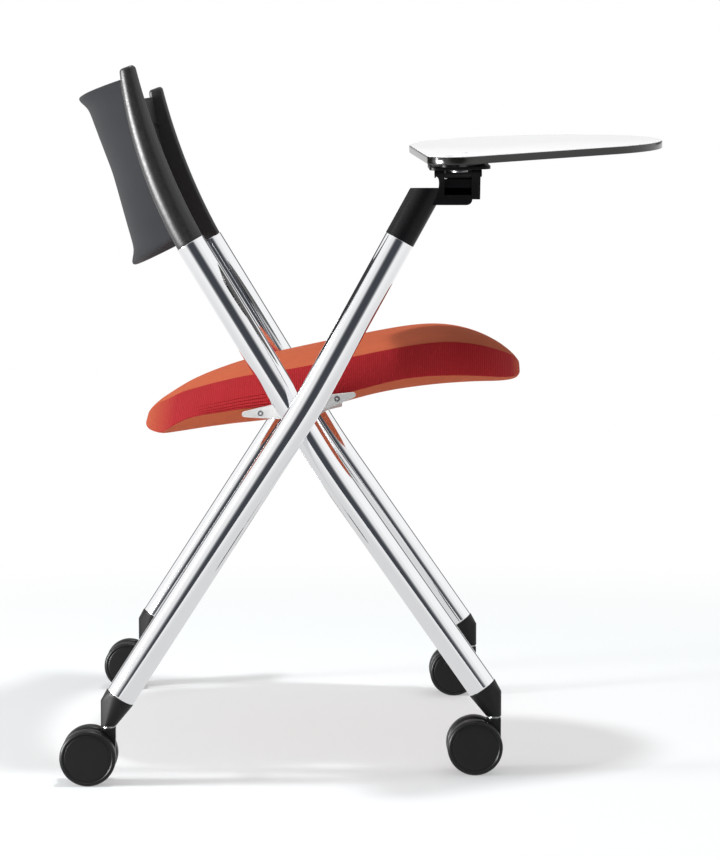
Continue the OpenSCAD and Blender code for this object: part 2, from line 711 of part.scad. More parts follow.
module tablet_board() placed() color(black) board_frame() difference() {
    translate([0, 0, board_low + sheet_t]) linear_extrude(tablet_t - 2 * sheet_t) tablet_outline();
    for (s = [-1, 1]) translate([s * plug_spacing / 2, 0, board_low]) {
        cylinder(h = tablet_t, r = tablet_screw_r);
        translate([0, 0, tablet_t / 2]) cylinder(h = tablet_t, r = plug_r);
    }
}

// White laminate on both faces of the board
module tablet_laminate() placed() color(white) board_frame() difference() {
    for (z = [board_low, board_low + tablet_t - sheet_t])
        translate([0, 0, z]) linear_extrude(sheet_t) tablet_outline();
    for (s = [-1, 1]) translate([s * plug_spacing / 2, 0, board_low]) {
        translate([0, 0, -cut]) cylinder(h = tablet_t, r = tablet_screw_r);
        translate([0, 0, tablet_t / 2]) cylinder(h = tablet_t, r = plug_r);
    }
}

// Two screws pull the board onto its mounting plate, under two plugs
module tablet_screws() placed() color(steel) board_frame()
    for (s = [-1, 1]) translate([s * plug_spacing / 2, 0, mount_low]) {
        cylinder(h = mount_t + tablet_t / 2, r = tablet_screw_r);
        translate([0, 0, mount_t + tablet_t / 2]) cylinder(h = plug_t - fit, r = tablet_screw_head_r);
    }
module tablet_plugs() placed() color(grey) board_frame()
    for (s = [-1, 1]) translate([s * plug_spacing / 2, 0, top_of_board - plug_t])
        cylinder(h = plug_t, r = plug_r);

// The mounting plate that swings under the board
module tablet_mount() placed() color(black) board_frame() difference() {
    translate([0, 0, mount_low]) linear_extrude(mount_t) {
        square([plug_spacing, 2 * mount_r], center = true);
        for (s = [-1, 1]) translate([s * plug_spacing / 2, 0]) circle(mount_r / 2);
    }
    for (s = [-1, 1]) translate([s * plug_spacing / 2, 0, mount_low - cut])
        cylinder(h = mount_t + 2 * cut, r = tablet_screw_r);
    translate([0, 0, mount_low - cut]) cylinder(h = mount_t + 2 * cut, r = pivot_r);
}

// The pin of the swing, fixed in the mounting plate, with its head under the carrier
pivot_foot = carrier_low - washer_t - fit;
module swing_pivot() placed() color(steel) board_frame() {
    translate([0, 0, pivot_foot]) cylinder(h = board_low - pivot_foot, r = pivot_r);
    translate([0, 0, pivot_foot - pivot_head_t]) cylinder(h = pivot_head_t, r = pivot_head_r);
}
module swing_washer() placed() color(rubber) board_frame() difference() {
    translate([0, 0, pivot_foot + fit / 2]) cylinder(h = washer_t, r = washer_r);
    translate([0, 0, pivot_foot]) cylinder(h = washer_t + 2 * fit, r = pivot_r + run);
}

// The carrier: a plate under the board with the middle barrel of the drop hinge
module tablet_carrier() placed() color(black) tablet_frame() difference() {
    union() {
        translate([0, 0, carrier_low]) linear_extrude(carrier_t) carrier_outline();
        translate([-barrel_half, 0, 0]) rotate([0, 90, 0]) cylinder(h = 2 * barrel_half, r = barrel_r);
        translate([-barrel_half, -barrel_r, 0])
            cube([2 * barrel_half, 2 * barrel_r, carrier_low + carrier_t / 2]);
    }
    translate([-barrel_half - cut, 0, 0]) rotate([0, 90, 0])
        cylinder(h = 2 * (barrel_half + cut), r = pin_r + run);
    translate([0, -pivot_reach, carrier_low - cut]) cylinder(h = carrier_t + 2 * cut, r = pivot_r + run);
}
module carrier_outline() {
    c = carrier_corner;
    translate([-carrier_half + c, -carrier_out]) square([2 * (carrier_half - c), carrier_out + carrier_in]);
    translate([-carrier_half, -carrier_out + c]) square([2 * carrier_half, carrier_out + carrier_in - 2 * c]);
    for (sx = [-1, 1], y = [-carrier_out + c, carrier_in - c])
        translate([sx * (carrier_half - c), y]) circle(c);
}

// The pin of the drop hinge
module hinge_pin() placed() color(steel) tablet_frame() rotate([0, 90, 0]) {
    reach = ear_x + ear_t / 2;
    translate([0, 0, -reach]) cylinder(h = 2 * reach, r = pin_r);
    for (s = [-1, 1]) translate([0, 0, s * (reach + pin_head_t / 2)])
        cylinder(h = pin_head_t, r = pin_head_r, center = true);
}

// The bracket that carries the hinge, bolted to the arm fitting
fitting_end = arm_end + (fitting_top - arm_tube_top + tube_r) / sin(arm_slope) * arm_up;
fitting_r = tube_r + socket_rim;
block_low = fitting_top - bracket_h;
block_back = arm_end.x + (block_low - arm_tube_top) / tan(arm_slope);
block_front = block_back + tube_r + bracket_front;
module tablet_bracket() placed() color(black) difference() {
    union() {
        side_view(-outer_y + (bracket_in - bracket_out) / 2, bracket_in + bracket_out) bracket_outline();
        for (s = [-1, 1]) hull() {
            tablet_frame() translate([s * ear_x, 0, 0]) rotate([0, 90, 0])
                cylinder(h = ear_t, r = barrel_r, center = true, $fn = 32);
            translate([pivot_ahead + s * ear_x, -outer_y - bracket_out + bracket_web_t,
                fitting_top - bracket_web_t])
                cube([ear_t, 2 * bracket_web_t, bracket_web_t], center = true);
        }
        tablet_frame() translate([-ear_x - ear_t / 2, barrel_r + ear_gap, -barrel_r * 2])
            cube([2 * ear_x + ear_t, carrier_in - barrel_r, carrier_low - layer_gap / 2 + barrel_r * 2]);
    }
    bar(arm_end, fitting_end, -outer_y, fitting_r);
    tablet_frame() rotate([0, 90, 0])
        cylinder(h = 4 * (barrel_half + ear_t), r = pin_r, center = true);
    for (s = [-1, 1]) bracket_bore(s);
}
module bracket_outline() {
    c = bracket_round;
    translate([block_back, block_low]) square([block_front - block_back - c, fitting_top - block_low]);
    translate([block_back, block_low + c]) square([block_front - block_back, fitting_top - block_low - c]);
    translate([block_front - c, block_low + c]) circle(c);
}

// Two screws lie along the block and go through the fitting
screw_seat = block_front - bracket_screw_head_r;
module bracket_screw_at(s) translate([screw_seat, -outer_y + s * bracket_screw_rise,
    (block_low + fitting_top) / 2]) rotate([0, -90, 0]) children();
module bracket_bore(s) bracket_screw_at(s) {
    cylinder(h = bracket_screw_l, r = bracket_screw_r);
    translate([0, 0, -tube_d]) cylinder(h = tube_d, r = bracket_screw_head_r);
}
module bracket_screws() placed() color(steel) for (s = [-1, 1]) bracket_screw_at(s) {
    cylinder(h = bracket_screw_l, r = bracket_screw_r);
    translate([0, 0, fit - bracket_screw_head_r])
        cylinder(h = bracket_screw_head_r - fit, r = bracket_screw_head_r);
}

// The fitting that closes the arm tube, cut level at its top
module arm_fitting() placed() color(black) difference() {
    union() {
        bar(arm_end, fitting_end, -outer_y, fitting_r);
        bar(arm_end - spigot_l * arm_up, arm_end, -outer_y, bore_r - run);
    }
    translate([-seat_l, -2 * outer_y, fitting_top]) cube([2 * seat_l, 2 * outer_y, tube_d]);
    for (s = [-1, 1]) bracket_bore(s);
}

// Casters, each in its own frame with the stem's axis at x = 0 and y = 0

module caster_at(x, y) placed() translate([x, y, 0]) children();

module wheel_section() difference() {
    union() {
        square([wheel_r - wheel_round, wheel_w]);
        translate([0, wheel_round]) square([wheel_r, wheel_w - 2 * wheel_round]);
        for (y = [wheel_round, wheel_w - wheel_round])
            translate([wheel_r - wheel_round, y]) circle(wheel_round);
    }
    translate([0, -cut]) square([axle_r + run, wheel_w - wheel_web + cut]);
    translate([hub_r, -cut]) square([wheel_r - wheel_shell - hub_r, wheel_w - wheel_web + cut]);
    translate([-cut, wheel_w - wheel_dish])
        square([wheel_r - wheel_round - wheel_lip + cut, wheel_dish + cut]);
}

// The closed side of a wheel faces away from the caster's middle
module wheel(side) color(black) translate([-trail, side * wheel_gap / 2, wheel_r])
    rotate([side * -90, 0, 0]) rotate_extrude() wheel_section();

module hood() color(black) difference() {
    union() {
        side_view(0, hood_t) hood_outline();
        translate([0, 0, neck_top - collar_h * 2]) cylinder(h = collar_h * 2, r = neck_r);
    }
    translate([0, 0, stem_foot]) cylinder(h = neck_top, r = stem_r);
    translate([-trail, 0, wheel_r]) rotate([90, 0, 0]) cylinder(h = wheel_w, r = axle_r, center = true);
}

// Axle boss, neck and a fender over the gap between the wheels
module hood_outline() {
    axle = [-trail, wheel_r];
    translate(axle) circle(hood_boss_r);
    translate([-neck_r, wheel_r]) square([2 * neck_r, neck_top - wheel_r]);
    translate([-trail, wheel_r - hood_boss_r / 2]) square([trail + neck_r, hood_boss_r]);
    difference() {
        translate(axle) circle(fender_out_r);
        translate(axle) circle(fender_out_r - fender_t);
        translate([-trail - wheel_r, 0]) square([wheel_d, wheel_r]);
    }
    translate([-trail - fender_out_r, wheel_r]) square([fender_out_r, hood_t / 4]);
}

module stem() color(steel) {
    translate([0, 0, stem_foot]) cylinder(h = socket_shoulder - stem_foot, r = stem_r);
    translate([0, 0, neck_top]) cylinder(h = collar_h, r = collar_r);
}

module axle() color(steel) translate([-trail, 0, wheel_r]) rotate([90, 0, 0])
    cylinder(h = 2 * (wheel_gap / 2 + wheel_w - wheel_web - fit), r = axle_r, center = true);

module front_right_stem() caster_at(front_stem_x, -inner_y) stem();
module front_right_hood() caster_at(front_stem_x, -inner_y) hood();
module front_right_axle() caster_at(front_stem_x, -inner_y) axle();
module front_right_outer_wheel() caster_at(front_stem_x, -inner_y) wheel(-1);
module front_right_inner_wheel() caster_at(front_stem_x, -inner_y) wheel(1);
module front_left_stem() caster_at(front_stem_x, inner_y) stem();
module front_left_hood() caster_at(front_stem_x, inner_y) hood();
module front_left_axle() caster_at(front_stem_x, inner_y) axle();
module front_left_outer_wheel() caster_at(front_stem_x, inner_y) wheel(1);
module front_left_inner_wheel() caster_at(front_stem_x, inner_y) wheel(-1);
module rear_right_stem() caster_at(rear_stem_x, -outer_y) stem();
module rear_right_hood() caster_at(rear_stem_x, -outer_y) hood();
module rear_right_axle() caster_at(rear_stem_x, -outer_y) axle();
module rear_right_outer_wheel() caster_at(rear_stem_x, -outer_y) wheel(-1);
module rear_right_inner_wheel() caster_at(rear_stem_x, -outer_y) wheel(1);
module rear_left_stem() caster_at(rear_stem_x, outer_y) stem();
module rear_left_hood() caster_at(rear_stem_x, outer_y) hood();
module rear_left_axle() caster_at(rear_stem_x, outer_y) axle();
module rear_left_outer_wheel() caster_at(rear_stem_x, outer_y) wheel(1);
module rear_left_inner_wheel() caster_at(rear_stem_x, outer_y) wheel(-1);

right_back_tube();
left_back_tube();
right_arm_tube();
left_rear_leg();
left_leg_cap();
cross_tube();
crossing_spacers();
front_right_socket();
front_left_socket();
rear_right_socket();
rear_left_socket();
right_upright();
left_upright();
back_panel();
back_pins();
arm_fitting();
tablet_bracket();
bracket_screws();
hinge_pin();
tablet_carrier();
swing_pivot();
swing_washer();
tablet_mount();
tablet_board();
tablet_laminate();
tablet_screws();
tablet_plugs();
seat_cushion();
seat_pan();
right_seat_bracket();
left_seat_bracket();
seat_bushes();
seat_screws();
seat_stops();
stop_buffers();
front_right_stem();
front_right_hood();
front_right_axle();
front_right_outer_wheel();
front_right_inner_wheel();
front_left_stem();
front_left_hood();
front_left_axle();
front_left_outer_wheel();
front_left_inner_wheel();
rear_right_stem();
rear_right_hood();
rear_right_axle();
rear_right_outer_wheel();
rear_right_inner_wheel();
rear_left_stem();
rear_left_hood();
rear_left_axle();
rear_left_outer_wheel();
rear_left_inner_wheel();
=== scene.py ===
"""The looks of the nesting chair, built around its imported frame."""
import json
import math

import bmesh
import bpy
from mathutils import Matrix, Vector


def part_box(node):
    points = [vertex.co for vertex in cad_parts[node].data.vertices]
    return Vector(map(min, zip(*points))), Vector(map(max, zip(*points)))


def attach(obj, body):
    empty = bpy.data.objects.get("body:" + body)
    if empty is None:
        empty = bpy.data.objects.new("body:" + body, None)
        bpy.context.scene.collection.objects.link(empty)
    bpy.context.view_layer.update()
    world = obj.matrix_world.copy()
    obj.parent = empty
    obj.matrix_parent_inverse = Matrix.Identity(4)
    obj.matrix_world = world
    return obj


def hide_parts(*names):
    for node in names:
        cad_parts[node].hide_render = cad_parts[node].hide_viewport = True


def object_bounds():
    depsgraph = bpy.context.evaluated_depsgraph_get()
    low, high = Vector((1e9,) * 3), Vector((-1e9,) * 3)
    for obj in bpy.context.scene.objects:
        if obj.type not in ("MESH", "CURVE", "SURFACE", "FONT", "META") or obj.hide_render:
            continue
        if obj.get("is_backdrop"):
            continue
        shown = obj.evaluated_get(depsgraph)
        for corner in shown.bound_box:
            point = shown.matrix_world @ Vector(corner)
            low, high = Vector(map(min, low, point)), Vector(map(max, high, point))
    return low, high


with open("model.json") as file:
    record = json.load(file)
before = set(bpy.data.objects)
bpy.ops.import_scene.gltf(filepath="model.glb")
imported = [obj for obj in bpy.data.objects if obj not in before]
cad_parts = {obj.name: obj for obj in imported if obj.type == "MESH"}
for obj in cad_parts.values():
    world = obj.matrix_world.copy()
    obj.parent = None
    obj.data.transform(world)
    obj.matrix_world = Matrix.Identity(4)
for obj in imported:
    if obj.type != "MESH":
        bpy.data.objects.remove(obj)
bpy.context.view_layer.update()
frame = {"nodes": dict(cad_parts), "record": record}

MM = 0.001
TURN = 2 * math.pi

# Sizes in millimetres and degrees. The numbers of steps round and along a form are counts
TUBE_R, TUBE_WALL, TUBE_LIP, TUBE_BEND_REACH = 16, 2, 0.5, 34
INNER_Y, OUTER_Y = 237.5, 287.5
CROSSING_H = 386
BACK_SLOPE, FRONT_SLOPE, ARM_SLOPE, REAR_SLOPE = 58.6, 55.1, 61.1, 57.1
BACK_TOP, ARM_TOP, LEG_BOTTOM = 575, 579, 93
FRONT_BEND_DROP, ARM_BEND_RISE = 59, 14
SPACER_R = 9
LEFT_LEG_RISE = 18
BACK_H = 187.7
UPRIGHT_FOOT_W, UPRIGHT_TIP_W, UPRIGHT_T = 30, 16.5, 28
UPRIGHT_FOOT_SLOPE, UPRIGHT_TIP_SLOPE, UPRIGHT_TIP_CUT = 61, 80, 70
PANEL_BOW_TOP, PANEL_BOW_MID, PANEL_BOW_BOTTOM = 65, 56.5, 71
PANEL_T, PANEL_LIP, PANEL_ROLL, PANEL_SET = 5, 1.5, 7, 1.5
PANEL_LOW, PANEL_HIGH, PANEL_WAIST = 0.055, 0.95, 0.54
SEAT_L, SEAT_W, SEAT_CORNER, SEAT_DRAW_IN = 432, 430, 100, 3
SEAT_BACK = -0.412
WHEEL_R, WHEEL_GAP = 30, 12
TABLET_R, TABLET_TIP_R, TABLET_REACH, PIVOT_OFFSET = 139.6, 31.5, 216.5, 5.3
TABLET_T, SHEET_T = 8.6, 0.8
TABLET_TURN, TABLET_TILT, TABLET_RISE = 63.6, 4.8, 1.4
CORNERS = ("front_right", "front_left", "rear_right", "rear_left")
SIDES = ((-1, "right"), (1, "left"))


def sind(a):
    return math.sin(math.radians(a))


def cosd(a):
    return math.cos(math.radians(a))


def tand(a):
    return math.tan(math.radians(a))


# The cross tube's middle line is the seat's hinge axis, and places are measured from it
cross_low, cross_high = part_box("cross_tube")
ORIGIN = ((cross_low.x + cross_high.x) / 2, (cross_low.y + cross_high.y) / 2)


def at(x, y, z):
    """A place in the shared frame: x and y in millimetres from the crossing, and z from the floor."""
    return Vector((ORIGIN[0] + x * MM, ORIGIN[1] + y * MM, z * MM))


# Painted sheen round the seat's ends: the red side is painted orange there, as grazing light lightens it,
# from plain red to plain orange
REAR_SHEEN = (at(-138, 0, 0).x, at(-174, 0, 0).x)
FRONT_SHEEN = (at(236, 0, 0).x, at(254, 0, 0).x)

# Materials


class Sheet:
    """Adds nodes to a node tree and links them."""

    def __init__(self, tree):
        self.nodes = tree.nodes
        self.links = tree.links

    def add(self, kind, inputs=(), **settings):
        node = self.nodes.new(kind)
        for key, value in settings.items():
            setattr(node, key, value)
        for key, value in dict(inputs).items():
            if isinstance(value, bpy.types.NodeSocket):
                self.links.new(value, node.inputs[key])
            else:
                node.inputs[key].default_value = value
        return node

    def math(self, operation, a, b=0.0):
        return self.add("ShaderNodeMath", {0: a, 1: b}, operation=operation).outputs[0]

    def spread(self, value, low, high, to_low=0.0, to_high=1.0, **settings):
        return self.add("ShaderNodeMapRange", {"Value": value, "From Min": low, "From Max": high,
                                               "To Min": to_low, "To Max": to_high}, **settings).outputs[0]

    def soft_step(self, value, low, high, to_low=0.0, to_high=1.0):
        return self.spread(value, low, high, to_low, to_high, interpolation_type="SMOOTHSTEP")

    def mix(self, factor, a, b):
        node = self.add("ShaderNodeMix", data_type="RGBA")
        for index, value in ((0, factor), (6, a), (7, b)):
            if isinstance(value, bpy.types.NodeSocket):
                self.links.new(value, node.inputs[index])
            elif index == 0:
                node.inputs[0].default_value = value
            else:
                node.inputs[index].default_value = (*value, 1)
        return node.outputs[2]


class Paint(Sheet):
    """A node material with a principled shader, whose textures use the object's own coordinates."""

    def __init__(self, name, colour, roughness, metallic=0.0, specular=0.5, sheen=0.0):
        self.material = bpy.data.materials.new(name)
        self.material.use_nodes = True
        super().__init__(self.material.node_tree)
        self.shader = self.nodes["Principled BSDF"]
        self.set("Base Color", (*colour, 1))
        self.set("Roughness", roughness)
        self.set("Metallic", metallic)
        self.set("Specular IOR Level", specular)
        self.set("Sheen Weight", sheen)
        self.material.diffuse_color = (*colour, 1)
        self.place = self.add("ShaderNodeTexCoord").outputs["Object"]
        self.relief = None

    def set(self, socket, value):
        self.shader.inputs[socket].default_value = value

    def stretched(self, scale):
        return self.add("ShaderNodeMapping", {"Vector": self.place, "Scale": scale}).outputs[0]

    def noise(self, scale, detail=3.0, rough=0.5, stretch=None):
        place = self.place if stretch is None else self.stretched(stretch)
        return self.add("ShaderNodeTexNoise",
                        {"Vector": place, "Scale": scale, "Detail": detail, "Roughness": rough}).outputs[0]

    def colour(self, output):
        self.links.new(output, self.shader.inputs["Base Color"])

    def roughness(self, output):
        self.links.new(output, self.shader.inputs["Roughness"])

    def bump(self, height, depth):
        """Adds a layer of relief, with its depth in millimetres."""
        inputs = {"Height": height, "Distance": depth * MM, "Strength": 1.0}
        if self.relief is not None:
            inputs["Normal"] = self.relief
        self.relief = self.add("ShaderNodeBump", inputs).outputs[0]
        self.links.new(self.relief, self.shader.inputs["Normal"])


def shade(colour, factor):
    return tuple(min(1.0, c * factor) for c in colour)


def mottled(paint, colour, amount, scale):
    """Colour that drifts a little over the surface."""
    drift = paint.spread(paint.noise(scale, 4, 0.6), 0.3, 0.7)
    paint.colour(paint.mix(drift, shade(colour, 1 - amount), shade(colour, 1 + amount)))


def metal_paint(name, colour, rough_low, rough_high, brush=None):
    """Bright metal: faint cloudiness in the gloss and, where it is drawn, fine lines."""
    paint = Paint(name, colour, rough_low, metallic=1.0)
    paint.roughness(paint.spread(paint.noise(60, 5, 0.6), 0.25, 0.75, rough_low, rough_high))
    mottled(paint, colour, 0.015, 25)
    if brush:
        paint.bump(paint.noise(900, 2, 0.5, brush), 0.01)
    return paint


def plastic_paint(name, colour, roughness, specular, grain_scale, grain_depth, amount=0.1):
    """Moulded plastic with a fine spark-eroded grain."""
    paint = Paint(name, colour, roughness, specular=specular)
    mottled(paint, colour, amount, 35)
    grain = paint.noise(grain_scale, 2, 0.6)
    paint.bump(grain, grain_depth)
    paint.roughness(paint.spread(grain, 0.2, 0.8, roughness - 0.06, roughness + 0.08))
    return paint


# Metals have a colour and a range of roughness. Plastics have a colour, a roughness, a specular level,
# a grain scale, a grain depth in millimetres and the amount by which the colour drifts
chrome = metal_paint("chrome", (0.90, 0.905, 0.92), 0.035, 0.075)
steel = metal_paint("zinc_plated_steel", (0.62, 0.63, 0.64), 0.22, 0.34, brush=(1, 1, 6))
dark_steel = metal_paint("dark_steel", (0.20, 0.20, 0.21), 0.30, 0.42)
upright_black = plastic_paint("satin_black", (0.006, 0.006, 0.007), 0.42, 0.6, 420, 0.10)
socket_black = plastic_paint("moulded_black", (0.009, 0.009, 0.010), 0.42, 0.2, 1100, 0.04)
bracket_black = plastic_paint("cast_black", (0.006, 0.006, 0.007), 0.36, 0.14, 800, 0.05)
caster_black = plastic_paint("caster_black", (0.009, 0.009, 0.010), 0.36, 0.25, 1200, 0.02)
panel_grey = plastic_paint("panel_grey", (0.036, 0.037, 0.041), 0.5, 0.04, 1300, 0.03, 0.05)
bracket_grey = plastic_paint("cast_grey", (0.62, 0.62, 0.61), 0.42, 0.4, 600, 0.05, 0.04)
plate_black = plastic_paint("plate_black", (0.030, 0.030, 0.031), 0.55, 0.3, 500, 0.06)
rubber = plastic_paint("rubber", (0.018, 0.018, 0.018), 0.70, 0.25, 900, 0.05)
plug_grey = plastic_paint("plug_grey", (0.46, 0.46, 0.47), 0.45, 0.4, 900, 0.03, 0.03)
edge_black = plastic_paint("edge_black", (0.010, 0.010, 0.008), 0.16, 0.6, 1000, 0.01)

LAMINATE_WHITE = (0.86, 0.86, 0.865)


def laminate_paint():
    """White laminate with a fine pebbled face."""
    paint = Paint("white_laminate", LAMINATE_WHITE, 0.36, specular=0.45)
    mottled(paint, LAMINATE_WHITE, 0.012, 18)
    pebble = paint.noise(900, 3, 0.55)
    paint.bump(pebble, 0.02)
    paint.roughness(paint.spread(pebble, 0.3, 0.7, 0.30, 0.42))
    return paint


# Each fabric's second, darker colour is painted shade, used in the knit's gaps and the ribs' grooves
SEAT_ORANGE, SEAT_ORANGE_SHADE = (0.485, 0.108, 0.048), (0.36, 0.066, 0.028)
SEAT_RED, SEAT_RED_SHADE = (0.385, 0.021, 0.026), (0.22, 0.008, 0.011)
KNIT_SCALE, KNIT_DEPTH = 850.0, 0.10
RIB_PITCH, RIB_DEPTH = 2.2, 0.3


def fabric_paint(name, colour, dark, rib_pitch=0.0):
    """Knitted upholstery: a fine knit over the whole, and upright ribs where a pitch is given."""
    paint = Paint(name, colour, 0.82, specular=0.06, sheen=0.15)
    paint.set("Sheen Roughness", 0.45)
    paint.set("Sheen Tint", (*shade(colour, 1.15), 1))
    cloud = paint.spread(paint.noise(45, 5, 0.65), 0.3, 0.7)
    base = paint.mix(cloud, shade(colour, 0.95), shade(colour, 1.05))
    place = paint.stretched((1.0, 1.0, 0.7))
    knit = paint.add("ShaderNodeTexVoronoi", {"Vector": place, "Scale": KNIT_SCALE})
    loops = paint.spread(knit.outputs["Distance"], 0.1, 0.7, 1.0, 0.0)
    paint.bump(loops, KNIT_DEPTH)
    # Painted shade: the gaps between the knit's loops are painted darker
    groove_shade = paint.spread(loops, 0.0, 0.5, 0.35, 0.0)
    if rib_pitch:
        # The wave texture's pitch is one turn over its scale and over 20
        scale = TURN / (20 * rib_pitch * MM)
        wave = paint.add("ShaderNodeTexWave", {"Vector": paint.place, "Scale": scale, "Distortion": 0.6,
                                               "Detail": 1.0, "Detail Scale": 2.0},
                         wave_type="BANDS", bands_direction="X").outputs["Fac"]
        # Painted sheen: the side is painted orange towards the seat's ends, and its grooves are not shaded
        # there
        along = paint.add("ShaderNodeSeparateXYZ", {0: paint.place}).outputs[0]
        end_sheen = paint.math("MAXIMUM", paint.spread(along, *REAR_SHEEN), paint.spread(along, *FRONT_SHEEN))
        ribbed = paint.math("SUBTRACT", 1.0, end_sheen)
        paint.bump(wave, RIB_DEPTH)
        # Painted shade: the ribs' grooves are painted darker
        groove_shade = paint.math("MAXIMUM", groove_shade, paint.math("MULTIPLY", ribbed,
                                                          paint.spread(wave, 0.0, 0.55, 0.65, 0.0)))
        base = paint.mix(end_sheen, base, SEAT_ORANGE)
    paint.colour(paint.mix(groove_shade, base, dark))
    return paint


seat_orange = fabric_paint("seat_fabric_top", SEAT_ORANGE, SEAT_ORANGE_SHADE)
seat_side = fabric_paint("seat_fabric_side", SEAT_RED, SEAT_RED_SHADE, RIB_PITCH)

# Mesh helpers

WELD_DIST, FLAT_ANGLE, BEVEL_ANGLE = 0.02, 0.8, 30.0
PIPE_STEPS, PIPE_STATIONS, BEND_STEPS = 64, 24, 14
LIP_STEP, LIP_INSIDE = 0.3, 0.6


def new_object(name, bm, paints, sharp=35.0, origin=None):
    """Turns a bmesh into an object, smooth apart from the edges that bend more than the angle."""
    bmesh.ops.recalc_face_normals(bm, faces=bm.faces)
    limit = math.radians(sharp)
    for face in bm.faces:
        face.smooth = True
    for edge in bm.edges:
        edge.smooth = len(edge.link_faces) == 2 and edge.calc_face_angle(0.0) < limit
    if origin is not None:
        bmesh.ops.translate(bm, verts=bm.verts, vec=-origin)
    mesh = bpy.data.meshes.new(name)
    bm.to_mesh(mesh)
    bm.free()
    item = bpy.data.objects.new(name, mesh)
    if origin is not None:
        item.location = origin
    bpy.context.scene.collection.objects.link(item)
    for paint in paints if isinstance(paints, (list, tuple)) else [paints]:
        mesh.materials.append(paint.material)
    return item


def loft(rings, looped=False, bm=None):
    """A closed skin over rings of points, capped at its ends or, when looped, joined to its start."""
    bm = bm or bmesh.new()
    rows = [[bm.verts.new(p) for p in ring] for ring in rings]
    count = len(rows[0])
    pairs = list(zip(rows, rows[1:])) + ([(rows[-1], rows[0])] if looped else [])
    for a, b in pairs:
        for i in range(count):
            j = (i + 1) % count
            bm.faces.new((a[i], a[j], b[j], b[i]))
    if not looped:
        bm.faces.new(list(reversed(rows[0])))
        bm.faces.new(rows[-1])
    return bm


def turned(profile, middle, axis, steps=64, bm=None):
    """A turned form. The profile runs from the axis to the axis as (radius, distance) in millimetres."""
    bm = bm or bmesh.new()
    axis = Vector(axis).normalized()
    side = axis.orthogonal().normalized()
    other = axis.cross(side)
    rows = []
    for radius, along in profile:
        centre = middle + axis * along * MM
        if radius == 0:
            rows.append([bm.verts.new(centre)])
        else:
            rows.append([bm.verts.new(centre + radius * MM * (side * math.cos(TURN * i / steps)
                                                             + other * math.sin(TURN * i / steps)))
                         for i in range(steps)])
    for a, b in zip(rows, rows[1:]):
        for i in range(steps):
            j = (i + 1) % steps
            corners = [a[i % len(a)], a[j % len(a)], b[j % len(b)], b[i % len(b)]]
            corners = [v for k, v in enumerate(corners) if v not in corners[:k]]
            if len(corners) > 2:
                bm.faces.new(corners)
    return bm


def arc(cx, cy, r, start, end, steps=4):
    """Profile points on an arc, in degrees."""
    angles = [start + (end - start) * k / steps for k in range(steps + 1)]
    return [(cx + r * cosd(a), cy + r * sind(a)) for a in angles]


def dressed(node, name, paint, body, bevel, segments=2):
    """A finer copy of a solid: welded, its flat faces whole and its edges rounded."""
    bm = bmesh.new()
    bm.from_mesh(frame["nodes"][node].data)
    bmesh.ops.remove_doubles(bm, verts=bm.verts, dist=WELD_DIST * MM)
    bmesh.ops.dissolve_limit(bm, angle_limit=math.radians(FLAT_ANGLE), verts=bm.verts, edges=bm.edges)
    if bevel:
        limit = math.radians(BEVEL_ANGLE)
        edges = [e for e in bm.edges if len(e.link_faces) == 2 and e.calc_face_angle(0.0) > limit]
        bmesh.ops.bevel(bm, geom=edges, offset=bevel * MM, segments=segments, affect="EDGES",
                        profile=0.5, clamp_overlap=True)
    item = new_object(name, bm, paint)
    item.modifiers.new("even_shading", "WEIGHTED_NORMAL").keep_sharp = True
    return fit_in(item, body, node)


def fit_in(item, body, node):
    """Puts a piece in the place of a node, on its body."""
    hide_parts(node)
    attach(item, body)
    return item


def unit(z):
    return z / abs(z)


class BentLine:
    """The middle line of a tube that bends once, in the side view, as complex numbers x + iz."""

    def __init__(self, a, b, c, reach):
        self.a, self.first, self.last = a, unit(b - a), unit(c - b)
        self.angle = math.atan2((self.last / self.first).imag, (self.last / self.first).real)
        self.radius = reach / math.tan(abs(self.angle) / 2)
        self.straight = abs(b - a) - reach
        self.bend = self.radius * abs(self.angle)
        self.length = self.straight + self.bend + abs(c - b) - reach

    def place(self, t):
        """Place and direction at a distance along the line."""
        if t <= self.straight:
            return self.a + t * self.first, self.first
        sign = 1 if self.angle > 0 else -1
        turn = min(t - self.straight, self.bend) / self.radius * sign
        way = self.first * complex(math.cos(turn), math.sin(turn))
        corner = self.a + self.straight * self.first
        centre = corner + self.first * 1j * sign * self.radius
        point = centre - way * 1j * sign * self.radius
        return point + max(0.0, t - self.straight - self.bend) * self.last, way


class StraightLine:
    """The middle line of a straight tube."""

    def __init__(self, a, b):
        self.a, self.way, self.length = a, unit(b - a), abs(b - a)

    def place(self, t):
        return self.a + t * self.way, self.way


def pipe(line, y, stations=()):
    """A frame tube with its wall and softened ends, along a line in the plane y."""
    outer, inner, lip, length = TUBE_R, TUBE_R - TUBE_WALL, TUBE_LIP, line.length
    near_end = 3 * lip
    even = [near_end + (length - 2 * near_end) * k / PIPE_STATIONS for k in range(PIPE_STATIONS + 1)]
    along = sorted(even + [t for t in stations if near_end < t < length - near_end])
    chain = [(lip, outer), *((t, outer) for t in along), (length - lip, outer),
             (length - lip * LIP_STEP, outer - lip * LIP_STEP), (length, outer - lip),
             (length, inner + lip * LIP_INSIDE), (length - lip * LIP_INSIDE, inner),
             *((t, inner) for t in reversed(along)), (lip * LIP_INSIDE, inner),
             (0, inner + lip * LIP_INSIDE), (0, outer - lip), (lip * LIP_STEP, outer - lip * LIP_STEP)]
    rings = []
    for t, r in chain:
        p, way = line.place(t)
        normal = way * 1j
        ring = []
        for i in range(PIPE_STEPS):
            a = TURN * i / PIPE_STEPS
            out = p + normal * r * math.cos(a)
            ring.append(at(out.real, y + r * math.sin(a), out.imag))
        rings.append(ring)
    return loft(rings, looped=True)


# Frame tubes

crossing = complex(0, CROSSING_H)


def slope(angle):
    return complex(cosd(angle), sind(angle))


